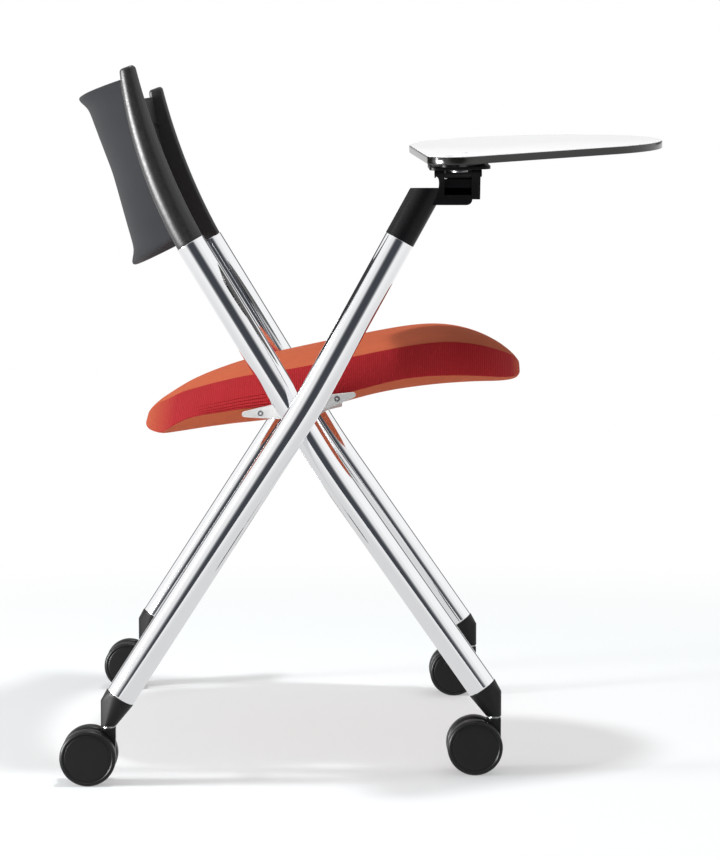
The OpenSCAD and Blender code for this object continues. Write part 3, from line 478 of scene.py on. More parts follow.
front_bend = crossing + complex(FRONT_BEND_DROP / tand(BACK_SLOPE), -FRONT_BEND_DROP)
front_end = complex(front_bend.real + (front_bend.imag - LEG_BOTTOM) / tand(FRONT_SLOPE), LEG_BOTTOM)
rear_end = complex(-(CROSSING_H - LEG_BOTTOM) / tand(REAR_SLOPE), LEG_BOTTOM)
back_end = complex(-(BACK_TOP - CROSSING_H) / tand(BACK_SLOPE), BACK_TOP)
arm_bend = crossing + ARM_BEND_RISE * slope(REAR_SLOPE)
arm_end = complex(arm_bend.real + (ARM_TOP - arm_bend.imag) / tand(ARM_SLOPE), ARM_TOP)
left_leg_top = crossing + LEFT_LEG_RISE * slope(REAR_SLOPE)


def bend_stations(line):
    return [line.straight + line.bend * k / BEND_STEPS for k in range(BEND_STEPS + 1)]


for side, label in SIDES:
    line = BentLine(front_end, front_bend, back_end, TUBE_BEND_REACH)
    tube = new_object(f"{label}_back_tube_bent", pipe(line, side * INNER_Y, bend_stations(line)), chrome)
    fit_in(tube, "frame", f"{label}_back_tube")

line = BentLine(rear_end, arm_bend, arm_end, TUBE_BEND_REACH)
tube = new_object("right_arm_tube_bent", pipe(line, -OUTER_Y, bend_stations(line)), chrome)
fit_in(tube, "frame", "right_arm_tube")

tube = new_object("left_rear_leg_tube", pipe(StraightLine(rear_end, left_leg_top), OUTER_Y), chrome)
fit_in(tube, "frame", "left_rear_leg")

up = Vector((slope(REAR_SLOPE).real, 0, slope(REAR_SLOPE).imag))
top = at(left_leg_top.real, OUTER_Y, left_leg_top.imag)
CAP_PROFILE = [
    (0, -14), (13.4, -14), (13.95, -13.2), (13.95, 0.05), (15.6, 0.05), (16, 0.5), (16, 2.4),
    *arc(13.8, 2.2, 2.2, 10, 45, 2), (14.816, 3.481), (14.182, 3.653), (11, 3.72), (5, 4.0), (0, 4.08)]
cap = new_object("left_leg_end_cap", turned(CAP_PROFILE, top, up), socket_black, 50)
fit_in(cap, "frame", "left_leg_cap")

dressed("cross_tube", "cross_tube_welded", chrome, "frame", bevel=0)

BEAD_R, BEAD_RIPPLE, BEAD_RIPPLES, BEAD_SINK, BEAD_OFFSET = 1.5, 0.16, 24, 0.3, 0.4
BEAD_STEPS, BEAD_SIDES = 72, 10


def weld_bead(middle, axis, radius, bm):
    """A low rippled bead of weld round a tube."""
    axis = Vector(axis).normalized()
    side = axis.orthogonal().normalized()
    other = axis.cross(side)
    rings = []
    for i in range(BEAD_STEPS):
        a = TURN * i / BEAD_STEPS
        out = side * math.cos(a) + other * math.sin(a)
        thick = BEAD_R + BEAD_RIPPLE * math.sin(a * BEAD_RIPPLES)
        centre = middle + out * (radius - BEAD_SINK) * MM
        rings.append([centre + (out * math.cos(b) + axis * math.sin(b)) * thick * MM
                      for b in (TURN * k / BEAD_SIDES for k in range(BEAD_SIDES))])
    loft(rings, looped=True, bm=bm)


bm = bmesh.new()
bm.from_mesh(frame["nodes"]["crossing_spacers"].data)
bmesh.ops.remove_doubles(bm, verts=bm.verts, dist=WELD_DIST * MM)
for side in (-1, 1):
    for edge in (INNER_Y + TUBE_R + BEAD_OFFSET, OUTER_Y - TUBE_R - BEAD_OFFSET):
        weld_bead(at(0, side * edge, CROSSING_H), (0, 1, 0), SPACER_R, bm)
fit_in(new_object("crossing_spacers_welded", bm, chrome), "frame", "crossing_spacers")

for corner in CORNERS:
    dressed(f"{corner}_socket", f"{corner}_leg_socket", socket_black, "frame", bevel=0.5,
            segments=3)

# Back

ARC_H = BACK_H - UPRIGHT_TIP_W * cosd(UPRIGHT_TIP_SLOPE) / 2
ARC_R = ARC_H / (cosd(UPRIGHT_FOOT_SLOPE) - cosd(UPRIGHT_TIP_SLOPE))
TIP_ROUND, TIP_STEPS, UPRIGHT_STEPS = 3, 6, 60
# How the width tapers, and the share of the height over which each end turns to its cut
TAPER_POWER, CUT_SHARE = 2.2, 0.06
# Corner radii of a section: a share of its half width at the outside, millimetres at the inside
OUTER_ROUND, INNER_ROUND = 0.84, 4
# Rings at the foot: a share of the height, and how far the ring is drawn in
FOOT_EDGE, FOOT_SHARE = ((0, 0.5), (0.0004, 0.15)), 0.003


def upright_slope(s):
    return UPRIGHT_FOOT_SLOPE + s * (UPRIGHT_TIP_SLOPE - UPRIGHT_FOOT_SLOPE)


def upright_at(s):
    return back_end + ARC_R * complex(sind(UPRIGHT_FOOT_SLOPE) - sind(upright_slope(s)),
                                      cosd(UPRIGHT_FOOT_SLOPE) - cosd(upright_slope(s)))


def upright_width(s):
    return UPRIGHT_TIP_W + (UPRIGHT_FOOT_W - UPRIGHT_TIP_W) * (1 - s ** TAPER_POWER)


def upright_front(s):
    """Direction to the front, square to the middle line, but cut like the tube at the foot."""
    foot = max(0.0, 1 - s / CUT_SHARE)
    tip = max(0.0, 1 - (1 - s) / CUT_SHARE)
    middle = upright_slope(s)
    angle = middle + foot * (BACK_SLOPE - middle) + tip * (UPRIGHT_TIP_CUT - middle)
    return complex(sind(angle), cosd(angle))


def rounded(hx, hy, upper_r, lower_r, k=9):
    """Points of a rectangle with rounded corners, whose two corners on the +y side have the first radius."""
    points = []
    for c in range(4):
        sx = 1 if c in (0, 3) else -1
        sy = 1 if c < 2 else -1
        r = upper_r if c < 2 else lower_r
        for i in range(k):
            a = 90 * (c + i / (k - 1))
            points.append((sx * (hx - r) + r * cosd(a), sy * (hy - r) + r * sind(a)))
    return points


def upright_ring(s, side, shrink):
    w = upright_width(s) / 2 - shrink
    t = UPRIGHT_T / 2 - shrink
    n, m = upright_front(s), upright_at(s)
    return [at((m + p * n).real, side * (INNER_Y + q), (m + p * n).imag)
            for p, q in rounded(w, t, OUTER_ROUND * w - shrink / 2, INNER_ROUND - shrink)]


top_share = 1 - TIP_ROUND / BACK_H
for side, label in SIDES:
    rings = [upright_ring(s, side, shrink) for s, shrink in FOOT_EDGE]
    rings += [upright_ring(FOOT_SHARE + (top_share - FOOT_SHARE) * i / UPRIGHT_STEPS, side, 0)
              for i in range(UPRIGHT_STEPS + 1)]
    for k in range(1, TIP_STEPS + 1):
        a = 90 * k / TIP_STEPS
        rings.append(upright_ring(top_share + (1 - top_share) * sind(a), side, TIP_ROUND * (1 - cosd(a))))
    item = new_object(f"{label}_upright_moulded", loft(rings), upright_black, 50)
    fit_in(item, "frame", f"{label}_upright")

PANEL_HALF = INNER_Y - UPRIGHT_T / 2
PANEL_LIP_SHARE, PANEL_BEND, PANEL_BOW_POWER = 0.055, 2.4, 1.5
PANEL_END, PANEL_UP_STEPS, PANEL_END_STEPS = 0.026, 56, 8


def panel_share(v):
    return PANEL_LOW + (PANEL_HIGH - PANEL_LOW) * v


def panel_lip(v):
    return math.exp(-(min(v, 1 - v) / PANEL_LIP_SHARE) ** 2)


def panel_point(u, v, depth):
    """A point of the panel: u across, v up, and the depth as a share of the thickness."""
    s = panel_share(v)
    n, m = upright_front(s), upright_at(s)
    across = 1 - abs(u) ** PANEL_BEND
    if v < PANEL_WAIST:
        end_bow, away = PANEL_BOW_BOTTOM, 1 - v / PANEL_WAIST
    else:
        end_bow, away = PANEL_BOW_TOP, (v - PANEL_WAIST) / (1 - PANEL_WAIST)
    bow = PANEL_BOW_MID + (end_bow - PANEL_BOW_MID) * away ** PANEL_BOW_POWER
    lip = panel_lip(v)
    edge = upright_width(s) / 2 - PANEL_SET
    d = -(edge + (bow + PANEL_ROLL * lip - edge) * across) + depth * (PANEL_T + PANEL_LIP * lip) / 2
    return at((m + d * n).real, u * PANEL_HALF, (m + d * n).imag)


def panel_path():
    """One closed line round the panel's section, as pairs of height share and depth share."""
    end = PANEL_END
    shares = [0.5 - 0.5 * cosd(180 * i / PANEL_UP_STEPS) for i in range(PANEL_UP_STEPS + 1)]
    face = [end + (1 - 2 * end) * share for share in shares]
    turns = [180 * k / PANEL_END_STEPS for k in range(1, PANEL_END_STEPS)]
    top_end = [(1 - end + end * sind(a), cosd(a)) for a in turns]
    low_end = [(end - end * sind(a), -cosd(a)) for a in turns]
    return [(v, 1) for v in face] + top_end + [(v, -1) for v in reversed(face)] + low_end


# Painted shade: the panel's front face is painted black along both side edges, for a few strips of its mesh,
# where it lies in shade between the uprights
path = panel_path()
ACROSS_STEPS, PANEL_SHADE_BORDER = 96, 4
rings = []
for j in range(ACROSS_STEPS + 1):
    u = 1 - 2 * j / ACROSS_STEPS
    rings.append([panel_point(u, v, depth) for v, depth in path])
bm = loft(rings)
bm.faces.ensure_lookup_table()
for j in list(range(PANEL_SHADE_BORDER)) + list(range(ACROSS_STEPS - PANEL_SHADE_BORDER, ACROSS_STEPS)):
    for face in bm.faces[j * len(path):j * len(path) + PANEL_UP_STEPS + 1]:
        face.material_index = 1
item = new_object("back_panel_bowed", bm, [panel_grey, upright_black], 60)
fit_in(item, "frame", "back_panel")

# Seat

# Curves along the seat, as shares of its length from the hinge axis: heights above the axis
TOP_SHARES = [
    (-0.412, -0.040), (-0.408, -0.024), (-0.397, -0.0076), (-0.378, 0.0090), (-0.3565, 0.0215),
    (-0.295, 0.060), (-0.151, 0.113), (-0.014, 0.143), (0.172, 0.180), (0.305, 0.205),
    (0.385, 0.210), (0.465, 0.196), (0.538, 0.163), (0.573, 0.134), (0.584, 0.117), (0.588, 0.103)]
BOTTOM_SHARES = [
    (-0.412, -0.044), (-0.4035, -0.051), (-0.39, -0.055), (-0.37, -0.0565), (-0.35, -0.0565),
    (-0.304, -0.0469), (-0.239, -0.0345), (-0.1754, -0.0255), (-0.065, -0.0125), (0.0734, 0.0185),
    (0.1435, 0.0385), (0.2025, 0.0535), (0.271, 0.066), (0.367, 0.0775), (0.450, 0.0815),
    (0.530, 0.079), (0.565, 0.080), (0.580, 0.085), (0.588, 0.096)]
# Half width of the top panel, as a share of the cushion's half width
CREASE_SHARES = [
    (-0.412, 0.22), (-0.377, 0.28), (-0.340, 0.40), (-0.308, 0.48), (-0.266, 0.55), (-0.2176, 0.61),
    (-0.153, 0.70), (-0.027, 0.85), (0.10, 0.915), (0.24, 0.93), (0.50, 0.92), (0.588, 0.80)]
# Height of the top panel's edge, as a share of the cushion's height
CREASE_HEIGHTS = [
    (-0.412, 0.97), (-0.377, 0.96), (-0.340, 0.93), (-0.308, 0.91), (-0.266, 0.885), (-0.2176, 0.865),
    (-0.153, 0.85), (0.0, 0.83), (0.46, 0.83), (0.55, 0.87), (0.588, 0.93)]
# Height of the lower seam, as a share of the cushion's height
SEAM_SHARES = [
    (-0.412, 0.10), (-0.352, 0.09), (-0.326, 0.21), (-0.278, 0.33), (-0.185, 0.31), (-0.116, 0.30),
    (0.0, 0.26), (0.139, 0.20), (0.27, 0.225), (0.39, 0.19), (0.46, 0.165), (0.588, 0.14)]
# Folds in the side band, as heights between the seam and the top panel at their rear and front ends
FOLDS = [(0.045, 0.06), (0.10, 0.16), (0.18, 0.27), (0.28, 0.38)]
FOLD_REAR, FOLD_FRONT = -0.29, -0.03
FOLD_EASE_REAR, FOLD_EASE_FRONT = 0.06, 0.05
FOLD_DEPTH, FOLD_HALF = 1.8, 0.03
# The lower seam's depth, and the shares of the length where it fades in and out
SEAM_DEPTH, SEAM_IN, SEAM_OUT = 1.1, (-0.38, -0.30), (0.45, 0.56)
# The side band between seam and top panel: its first line, its steps, its bulge and how it leans in
BAND_FOOT, BAND_STEPS, BAND_BULGE, BAND_POWER = 0.015, 9, 0.012, 1.25
# The corners' power, the number of sections, the gap at the ends and how far the fabric may puff up
SEAT_POWER, SEAT_STATIONS, SEAT_END_GAP, PUFF_CAP = 2.3, 90, 0.4, 3.5


def smooth(table, x):
    """A smooth curve through a table."""
    last = len(table) - 1

    def lean(i):
        a, b = table[max(0, i - 1)], table[min(last, i + 1)]
        return (b[1] - a[1]) / (b[0] - a[0])

    i = 0
    while i < last - 1 and x >= table[i + 1][0]:
        i += 1
    (x0, y0), (x1, y1) = table[i], table[i + 1]
    w = x1 - x0
    s = min(1.0, max(0.0, (x - x0) / w))
    return (y0 * (2 * s ** 3 - 3 * s ** 2 + 1) + lean(i) * w * (s ** 3 - 2 * s ** 2 + s)
            + y1 * (3 * s ** 2 - 2 * s ** 3) + lean(i + 1) * w * (s ** 3 - s ** 2))


def eased(value, low, high):
    s = min(1.0, max(0.0, (value - low) / (high - low)))
    return s * s * (3 - 2 * s)


def seat_half(x):
    back = max(0.0, x - SEAT_BACK * SEAT_L)
    d = max(0.0, min(back, SEAT_L - back, SEAT_CORNER))
    corner = (1 - (1 - d / SEAT_CORNER) ** SEAT_POWER) ** (1 / SEAT_POWER)
    return (SEAT_W / 2 - SEAT_DRAW_IN * sind(180 * back / SEAT_L) ** 2) * corner


# How sharp the subdivided mesh stays along each kind of line
CREASES = {"seam": 1.0, "fold side": 0.7, "crease": 0.55}
FLAT_SHARE, FLAT_STEPS = 0.74, 8
# Underside and crown of a section, as shares of the half width and of the height
UNDER = [(FLAT_SHARE * k / FLAT_STEPS, 0.0) for k in range(FLAT_STEPS + 1)] + [
    (0.80, 0.0), (0.84, 0.12), (0.90, 0.40), (0.955, 0.74), (0.985, 0.93)]
CROWN = [(1.0, 1.0), (0.8, 0.59), (0.5, 0.206), (0.25, 0.041), (0.0, 0.0)]
TOP_STEPS = 20


def cushion_half_ring(x):
    """Half of a section, from the middle underneath to the middle on top.

    Each point has a share of the half width, a share of the height, a depth in millimetres and a kind.
    """
    share = x / SEAT_L
    c, rim, seam = (smooth(table, share) for table in (CREASE_SHARES, CREASE_HEIGHTS, SEAM_SHARES))
    points = [(p, h * seam, 0.0, "under") for p, h in UNDER]
    fade = eased(share, *SEAM_IN) * (1 - eased(share, *SEAM_OUT))
    points.append((1.0, seam, SEAM_DEPTH * fade, "seam"))
    folds = (eased(share, FOLD_REAR, FOLD_REAR + FOLD_EASE_REAR)
             * (1 - eased(share, FOLD_FRONT - FOLD_EASE_FRONT, FOLD_FRONT)))
    along = min(1.0, max(0.0, (share - FOLD_REAR) / (FOLD_FRONT - FOLD_REAR)))
    heights = [(BAND_FOOT, 0.0, "side")]
    for rear, front in FOLDS:
        s = rear + (front - rear) * along
        heights += [(s - FOLD_HALF / 2, 0.0, "side"), (s, FOLD_DEPTH * folds, "fold side"),
                    (s + FOLD_HALF / 2, 0.0, "side")]
    top_fold = heights[-1][0]
    heights += [(top_fold + (1 - top_fold) * k / BAND_STEPS, 0.0, "side") for k in range(1, BAND_STEPS)]
    for s, depth, kind in sorted(heights):
        bulge = BAND_BULGE * math.sin(math.pi * s)
        points.append((1.0 + (c - 1.0) * s ** BAND_POWER + bulge, seam + (rim - seam) * s, depth, kind))
    crown = sorted((-p, h) for p, h in CROWN)
    for k in range(TOP_STEPS + 1):
        p = 1 - k / TOP_STEPS
        points.append((c * p, 1 - (1 - rim) * smooth(crown, -p), 0.0, "top" if k else "crease"))
    return points


def build_cushion():
    """The cushion: sections from rear to front, pinned at its seams and puffed up between them."""
    bm = bmesh.new()
    crease = bm.edges.layers.float.new("crease_edge")
    rows = []
    for i in range(SEAT_STATIONS + 1):
        way = (1 - cosd(180 * i / SEAT_STATIONS)) / 2
        x = SEAT_L * SEAT_BACK + SEAT_END_GAP + (SEAT_L - 2 * SEAT_END_GAP) * way
        low = CROSSING_H + SEAT_L * smooth(BOTTOM_SHARES, x / SEAT_L)
        high = CROSSING_H + SEAT_L * smooth(TOP_SHARES, x / SEAT_L)
        half = seat_half(x)
        ring = cushion_half_ring(x)
        points = [(-(half * p - depth), h, kind) for p, h, depth, kind in ring]
        points += [(-y, h, kind) for y, h, kind in reversed(points[1:-1])]
        rows.append([(bm.verts.new(at(x, y, low + (high - low) * h)), kind) for y, h, kind in points])
    count = len(rows[0])
    for a, b in zip(rows, rows[1:]):
        for i in range(count):
            j = (i + 1) % count
            face = bm.faces.new((a[i][0], a[j][0], b[j][0], b[i][0]))
            kinds = {a[i][1], a[j][1]}
            face.material_index = 1 if any(kind.endswith("side") for kind in kinds) else 0
            if a[i][1] in CREASES:
                bm.edges.get((a[i][0], b[i][0]))[crease] = CREASES[a[i][1]]
    for end in (rows[0], rows[-1]):
        for i in range(count // 2):
            quad = [end[i][0], end[i + 1][0], end[count - i - 1][0], end[-i % count][0]]
            quad = [v for k, v in enumerate(quad) if v not in quad[:k]]
            if len(quad) > 2:
                bm.faces.new(quad)
    bm.verts.index_update()
    pinned = [v.index for row in rows for v, kind in row if kind in ("under", "seam", "crease")]
    pinned += [v.index for row in (rows[0], rows[-1]) for v, kind in row]
    item = new_object("seat_cushion_padded", bm, [seat_orange, seat_side], 70)
    pins = item.vertex_groups.new(name="pins")
    pins.add(sorted(set(pinned)), 1.0, "REPLACE")
    inflate(item, pins.name, PUFF_CAP)
    subdivide = item.modifiers.new("round", "SUBSURF")
    subdivide.levels = subdivide.render_levels = 1
    return item


CLOTH = {
    "quality": 6, "mass": 0.3, "tension_stiffness": 25, "compression_stiffness": 25, "shear_stiffness": 12,
    "bending_stiffness": 2, "use_pressure": True, "uniform_pressure_force": 4}
CLOTH_FRAMES = 20


def inflate(item, pins, cap):
    """Runs a short cloth simulation with pressure inside, and keeps each point near its start."""
    scene = bpy.context.scene
    start = [v.co.copy() for v in item.data.vertices]
    cloth = item.modifiers.new("cloth", "CLOTH")
    for key, value in CLOTH.items():
        setattr(cloth.settings, key, value)
    cloth.settings.vertex_group_mass = pins
    cloth.settings.effector_weights.gravity = 0
    cloth.point_cache.frame_start, cloth.point_cache.frame_end = 1, CLOTH_FRAMES
    for number in range(1, CLOTH_FRAMES + 1):
        scene.frame_set(number)
    shape = item.evaluated_get(bpy.context.evaluated_depsgraph_get())
    moved = [v.co.copy() for v in shape.data.vertices]
    item.modifiers.remove(cloth)
    scene.frame_set(1)
    for vertex, before, after in zip(item.data.vertices, start, moved):
        step = after - before
        if step.length > cap * MM:
            step *= cap * MM / step.length
        vertex.co = before + step
    item.data.update()


cushion = build_cushion()
fit_in(cushion, "seat", "seat_cushion")

dressed("seat_pan", "seat_plate", plate_black, "seat", bevel=0.3)

# The seat brackets: an eye, two arms and two screws, placed from the hinge axis
SCREW_PLACES = ((-41, 4.5), (42, 20.2))
EYE_R, EYE_BORE_R, HANGER_T, PAD_R, PAD_L, PAD_OVER = 19.5, 14.5, 5, 4.6, 40, 0.5
# Each arm: its root and root radius, its tip and tip radius
HANGER_ARMS = (
    (Vector((-14, 7.5)), 9.5, Vector((-58, 3.4)), 3.2),
    (Vector((14, 13)), 9.5, Vector((59, 24.2)), 3.2))
HANGER_POINTS, ARM_STEPS = 540, 60
HANGER_ROUND, HANGER_CHAMFER = 0.9, 0.25


def arm_reach(way, root, root_r, tip, tip_r):
    """How far a ray from the hinge axis stays in a tapered arm."""
    reach = 0.0
    for k in range(ARM_STEPS + 1):
        share = k / ARM_STEPS
        centre = root + (tip - root) * share
        radius = root_r + (tip_r - root_r) * share
        ahead = centre.dot(way)
        room = radius ** 2 - centre.length_squared + ahead ** 2
        if room > 0:
            reach = max(reach, ahead + math.sqrt(room))
    return reach


def hanger(side, label):
    """A cast bracket: an eye on the cross tube and two tapered arms, with a pad behind each screw."""
    low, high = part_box(f"{label}_seat_bracket")
    outer = abs((high.y if side > 0 else low.y) - ORIGIN[1]) / MM
    inner = outer - HANGER_T
    outline = []
    for i in range(HANGER_POINTS):
        way = Vector((cosd(360 * i / HANGER_POINTS), sind(360 * i / HANGER_POINTS)))
        outline.append(way * max(EYE_R, *(arm_reach(way, *arm) for arm in HANGER_ARMS)))
    edge = ((HANGER_ROUND, 0), (HANGER_CHAMFER, HANGER_CHAMFER), (0, HANGER_ROUND))
    levels = [(inset, inner + depth) for inset, depth in edge]
    levels += [(inset, outer - depth) for inset, depth in reversed(edge)]
    rings = []
    for inset, y in levels:
        rings.append([at(p.x * (1 - inset / p.length), side * y, CROSSING_H + p.y * (1 - inset / p.length))
                      for p in outline])
    for y in (outer, inner):
        rings.append([at(EYE_BORE_R * p.x / p.length, side * y, CROSSING_H + EYE_BORE_R * p.y / p.length)
                      for p in outline])
    bm = loft(rings, looped=True)
    for x, z in SCREW_PLACES:
        pad = [(0, -PAD_L), (PAD_R, -PAD_L), (PAD_R, PAD_OVER), (0, PAD_OVER)]
        turned(pad, at(x, side * inner, CROSSING_H + z), (0, side, 0), 40, bm)
    item = new_object(f"{label}_seat_hanger", bm, bracket_grey, 40)
    item.modifiers.new("even_shading", "WEIGHTED_NORMAL").keep_sharp = True
    fit_in(item, "seat", f"{label}_seat_bracket")


for side, label in SIDES:
    hanger(side, label)
dressed("seat_bushes", "seat_bushes_turned", rubber, "seat", bevel=0.15)
dressed("seat_stops", "seat_stop_lugs", bracket_grey, "frame", bevel=0.5)
dressed("stop_buffers", "stop_buffers_moulded", rubber, "frame", bevel=0.6, segments=3)

# The seat screws: their face lies a little outside the cushion's side
HEAD_R, HEAD_H, HEAD_EDGE, HEAD_CHAMFER, HEAD_STEP = 3.15, 2.3, 0.35, 0.12, 0.1
SOCKET_R, SOCKET_SHARE, SHANK_R, SHANK_L, SCREW_OUT, SCREW_STEPS = 1.6, 0.75, 2, 50, 6.1, 48


def hex_screw(middle, axis, bm):
    """A screw head with a hexagon socket, its face at the middle and its shank along -axis."""
    axis = Vector(axis).normalized()
    side = axis.orthogonal().normalized()
    other = axis.cross(side)

    def ring(radius, along, six=False):
        points = []
        for i in range(SCREW_STEPS):
            a = TURN * i / SCREW_STEPS
            r = radius
            if six:
                r = radius * cosd(30) / math.cos((a % (TURN / 6)) - TURN / 12)
            points.append(middle + axis * along * MM + r * MM * (side * math.cos(a) + other * math.sin(a)))
        return points

    loft([ring(SHANK_R, -HEAD_H - SHANK_L), ring(SHANK_R, -HEAD_H), ring(HEAD_R, -HEAD_H),
          ring(HEAD_R, -HEAD_EDGE), ring(HEAD_R - HEAD_STEP, -HEAD_CHAMFER), ring(HEAD_R - HEAD_EDGE, 0),
          ring(SOCKET_R + HEAD_CHAMFER, 0, True), ring(SOCKET_R, -HEAD_CHAMFER, True),
          ring(SOCKET_R, -HEAD_H * SOCKET_SHARE, True)], bm=bm)


bm = bmesh.new()
for side, label in SIDES:
    for x, z in SCREW_PLACES:
        hex_screw(at(x, side * (SEAT_W / 2 + SCREW_OUT), CROSSING_H + z), (0, side, 0), bm)
fit_in(new_object("seat_screws_hex", bm, dark_steel, 40), "seat", "seat_screws")

# Arm fitting and tablet

# The web that fills the tablet bracket between its ears, under the hinge
WEB_X, WEB_Y, WEB_Z = (149.7, 187.3), (-298.3, -282.3), (625.0, 642.4)
WEB_ROUND = 0.6

dressed("arm_fitting", "arm_fitting_moulded", bracket_black, "frame", bevel=0.6, segments=3)
bracket = dressed("tablet_bracket", "tablet_bracket_cast", bracket_black, "frame",
                  bevel=0.7, segments=3)
bm = bmesh.new()
bm.from_mesh(bracket.data)
rings = []
for inset, y in ((WEB_ROUND, WEB_Y[0]), (0, WEB_Y[0] + WEB_ROUND), (0, WEB_Y[1] - WEB_ROUND),
                 (WEB_ROUND, WEB_Y[1])):
    half_x, half_z = (WEB_X[1] - WEB_X[0]) / 2 - inset, (WEB_Z[1] - WEB_Z[0]) / 2 - inset
    rings.append([at(sum(WEB_X) / 2 + p, y, sum(WEB_Z) / 2 + q)
                  for p, q in rounded(half_x, half_z, WEB_ROUND, WEB_ROUND, 3)])
loft(rings, bm=bm)
bm.to_mesh(bracket.data)
bm.free()
dressed("bracket_screws", "bracket_screws_turned", dark_steel, "frame", bevel=0.3)
dressed("hinge_pin", "hinge_pin_turned", bracket_black, "frame", bevel=0.3)
dressed("tablet_carrier", "tablet_carrier_plate", bracket_black, "carrier", bevel=0.5,
        segments=3)
dressed("swing_washer", "swing_washer_moulded", rubber, "carrier", bevel=0.15)
dressed("swing_pivot", "swing_pivot_turned", dark_steel, "tablet", bevel=0.3)
dressed("tablet_mount", "tablet_mount_plate", bracket_black, "tablet", bevel=0.4)


def turn_x(p, a):
    return (p[0], p[1] * cosd(a) - p[2] * sind(a), p[1] * sind(a) + p[2] * cosd(a))


def turn_y(p, a):
    return (p[0] * cosd(a) + p[2] * sind(a), p[1], -p[0] * sind(a) + p[2] * cosd(a))


def turn_z(p, a):
    return (p[0] * cosd(a) - p[1] * sind(a), p[0] * sind(a) + p[1] * cosd(a), p[2])


joints = {joint["name"]: joint for joint in frame["record"]["behaviour"]["joints"]}
PIVOT = Vector(joints["tablet_swing"]["pos_m"])


def on_board(x, y, z):
    """A place in the board's own frame: x from the swing pivot to the wide end, z up from its underside."""
    p = turn_x(turn_y(turn_z((x, y, z), TABLET_TURN), -TABLET_RISE), TABLET_TILT)
    return PIVOT + Vector(p) * MM


WIDE_STEPS, TIP_END_STEPS = 120, 40


def tablet_outline(inset):
    """The outline of the tablet, drawn in by an inset: the wide end's arc, then the narrow end's."""
    far = TABLET_REACH - PIVOT_OFFSET
    lean = math.degrees(math.asin((TABLET_TIP_R - TABLET_R) / TABLET_REACH))
    tip, wide = TABLET_TIP_R - inset, TABLET_R - inset
    a = 90 - lean
    wide_turns = [-a + 2 * a * i / WIDE_STEPS for i in range(WIDE_STEPS + 1)]
    tip_turns = [a + (360 - 2 * a) * i / TIP_END_STEPS for i in range(TIP_END_STEPS + 1)]
    return ([(far + wide * cosd(b), wide * sind(b)) for b in wide_turns]
            + [(-PIVOT_OFFSET + tip * cosd(b), tip * sind(b)) for b in tip_turns])


def board_rings(levels):
    return [[on_board(x, y, z) for x, y in tablet_outline(inset)] for inset, z in levels]


# Both pieces have their edge as pairs of inset and depth. The sheet's depth is measured from its face
BOARD_EDGE = [(12, 0), (0.9, 0), (0.25, 0.15), (0.0, 0.8)]
SHEET_EDGE = [(0.5, SHEET_T - 0.01), (0.35, 0.35), (0.55, 0.1), (0.95, 0)]
board_top = TABLET_T - SHEET_T
levels = BOARD_EDGE + [(inset, board_top - depth) for inset, depth in reversed(BOARD_EDGE)]
board = new_object("tablet_board_edged", loft(board_rings(levels)), edge_black, 40)
fit_in(board, "tablet", "tablet_board")

levels = [(inset, TABLET_T - depth) for inset, depth in SHEET_EDGE]
sheet = new_object("tablet_laminate_face", loft(board_rings(levels)), laminate_paint(), 40)
fit_in(sheet, "tablet", "tablet_laminate")

# Casters

# A wheel's section, from the middle of its outer face over the tread to the axle's seat in its hub
WHEEL_PROFILE = [
    (0, 15.7), (8.0, 15.68), (16.0, 15.6), (21.5, 15.45), (23.6, 15.35), (24.5, 15.2), (24.9, 14.9),
    (25.25, 14.85), (25.6, 15.1), (25.9, 15.6), (26.3, 15.9), (26.5, 15.98),
    *arc(26.5, 12.5, 3.5, 80, 0, 6), (30.0, 8.0), *arc(26.5, 3.5, 3.5, 0, -80, 6), (26.2, 0.0), (25.8, 0.25),
    (25.5, 1.0), (25.3, 12.0), (8.4, 12.0), (8.0, 11.6), (8.0, 0.35), (7.7, 0.0), (4.6, 0.0), (4.2, 0.4),
    (4.2, 11.5), (0, 11.5)]


def wheel(corner, place, which, hand):
    middle = Vector((place.x, place.y, WHEEL_R * MM))
    bm = turned(WHEEL_PROFILE, middle + Vector((0, hand * WHEEL_GAP / 2 * MM, 0)), (0, hand, 0), 96)
    item = new_object(f"{corner}_{which}_wheel_turned", bm, caster_black, 28, origin=middle)
    fit_in(item, f"{corner}_{which}_roller", f"{corner}_{which}_wheel")


for corner in CORNERS:
    body = f"{corner}_swivel"
    dressed(f"{corner}_stem", f"{corner}_stem_turned", steel, body, bevel=0.25)
    dressed(f"{corner}_hood", f"{corner}_hood_moulded", caster_black, body, bevel=0.8,
            segments=3)
    dressed(f"{corner}_axle", f"{corner}_axle_turned", steel, body, bevel=0.3)
    low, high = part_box(f"{corner}_axle")
    middle = (low + high) / 2
    outward = -1 if "right" in corner else 1
    wheel(corner, middle, "outer", outward)
    wheel(corner, middle, "inner", -outward)

# Small nodes that keep their own solid
for name, paint in (("back_pins", upright_black), ("tablet_screws", steel), ("tablet_plugs", plug_grey)):
    item = frame["nodes"][name]
    item.data.materials.clear()
    item.data.materials.append(paint.material)

# Stage, light and camera

FLOOR_CORNERS = ((-6, -1.6), (6, -1.6), (6, 7), (-6, 7))
FLOOR_COLOUR = (0.86, 0.90, 0.915)
# Near and far distance on the floor in metres, then the value at each: the share that the camera sees as
# plain white, and the level that gloss sees, which is lower near the object as painted shade
FLOOR_GLOW = (0.7, 1.6, 0.36, 1.0)
FLOOR_GLOSS_SHADE = (0.5, 1.5, 0.74, 0.95)
LIGHT_LEVEL = 0.6
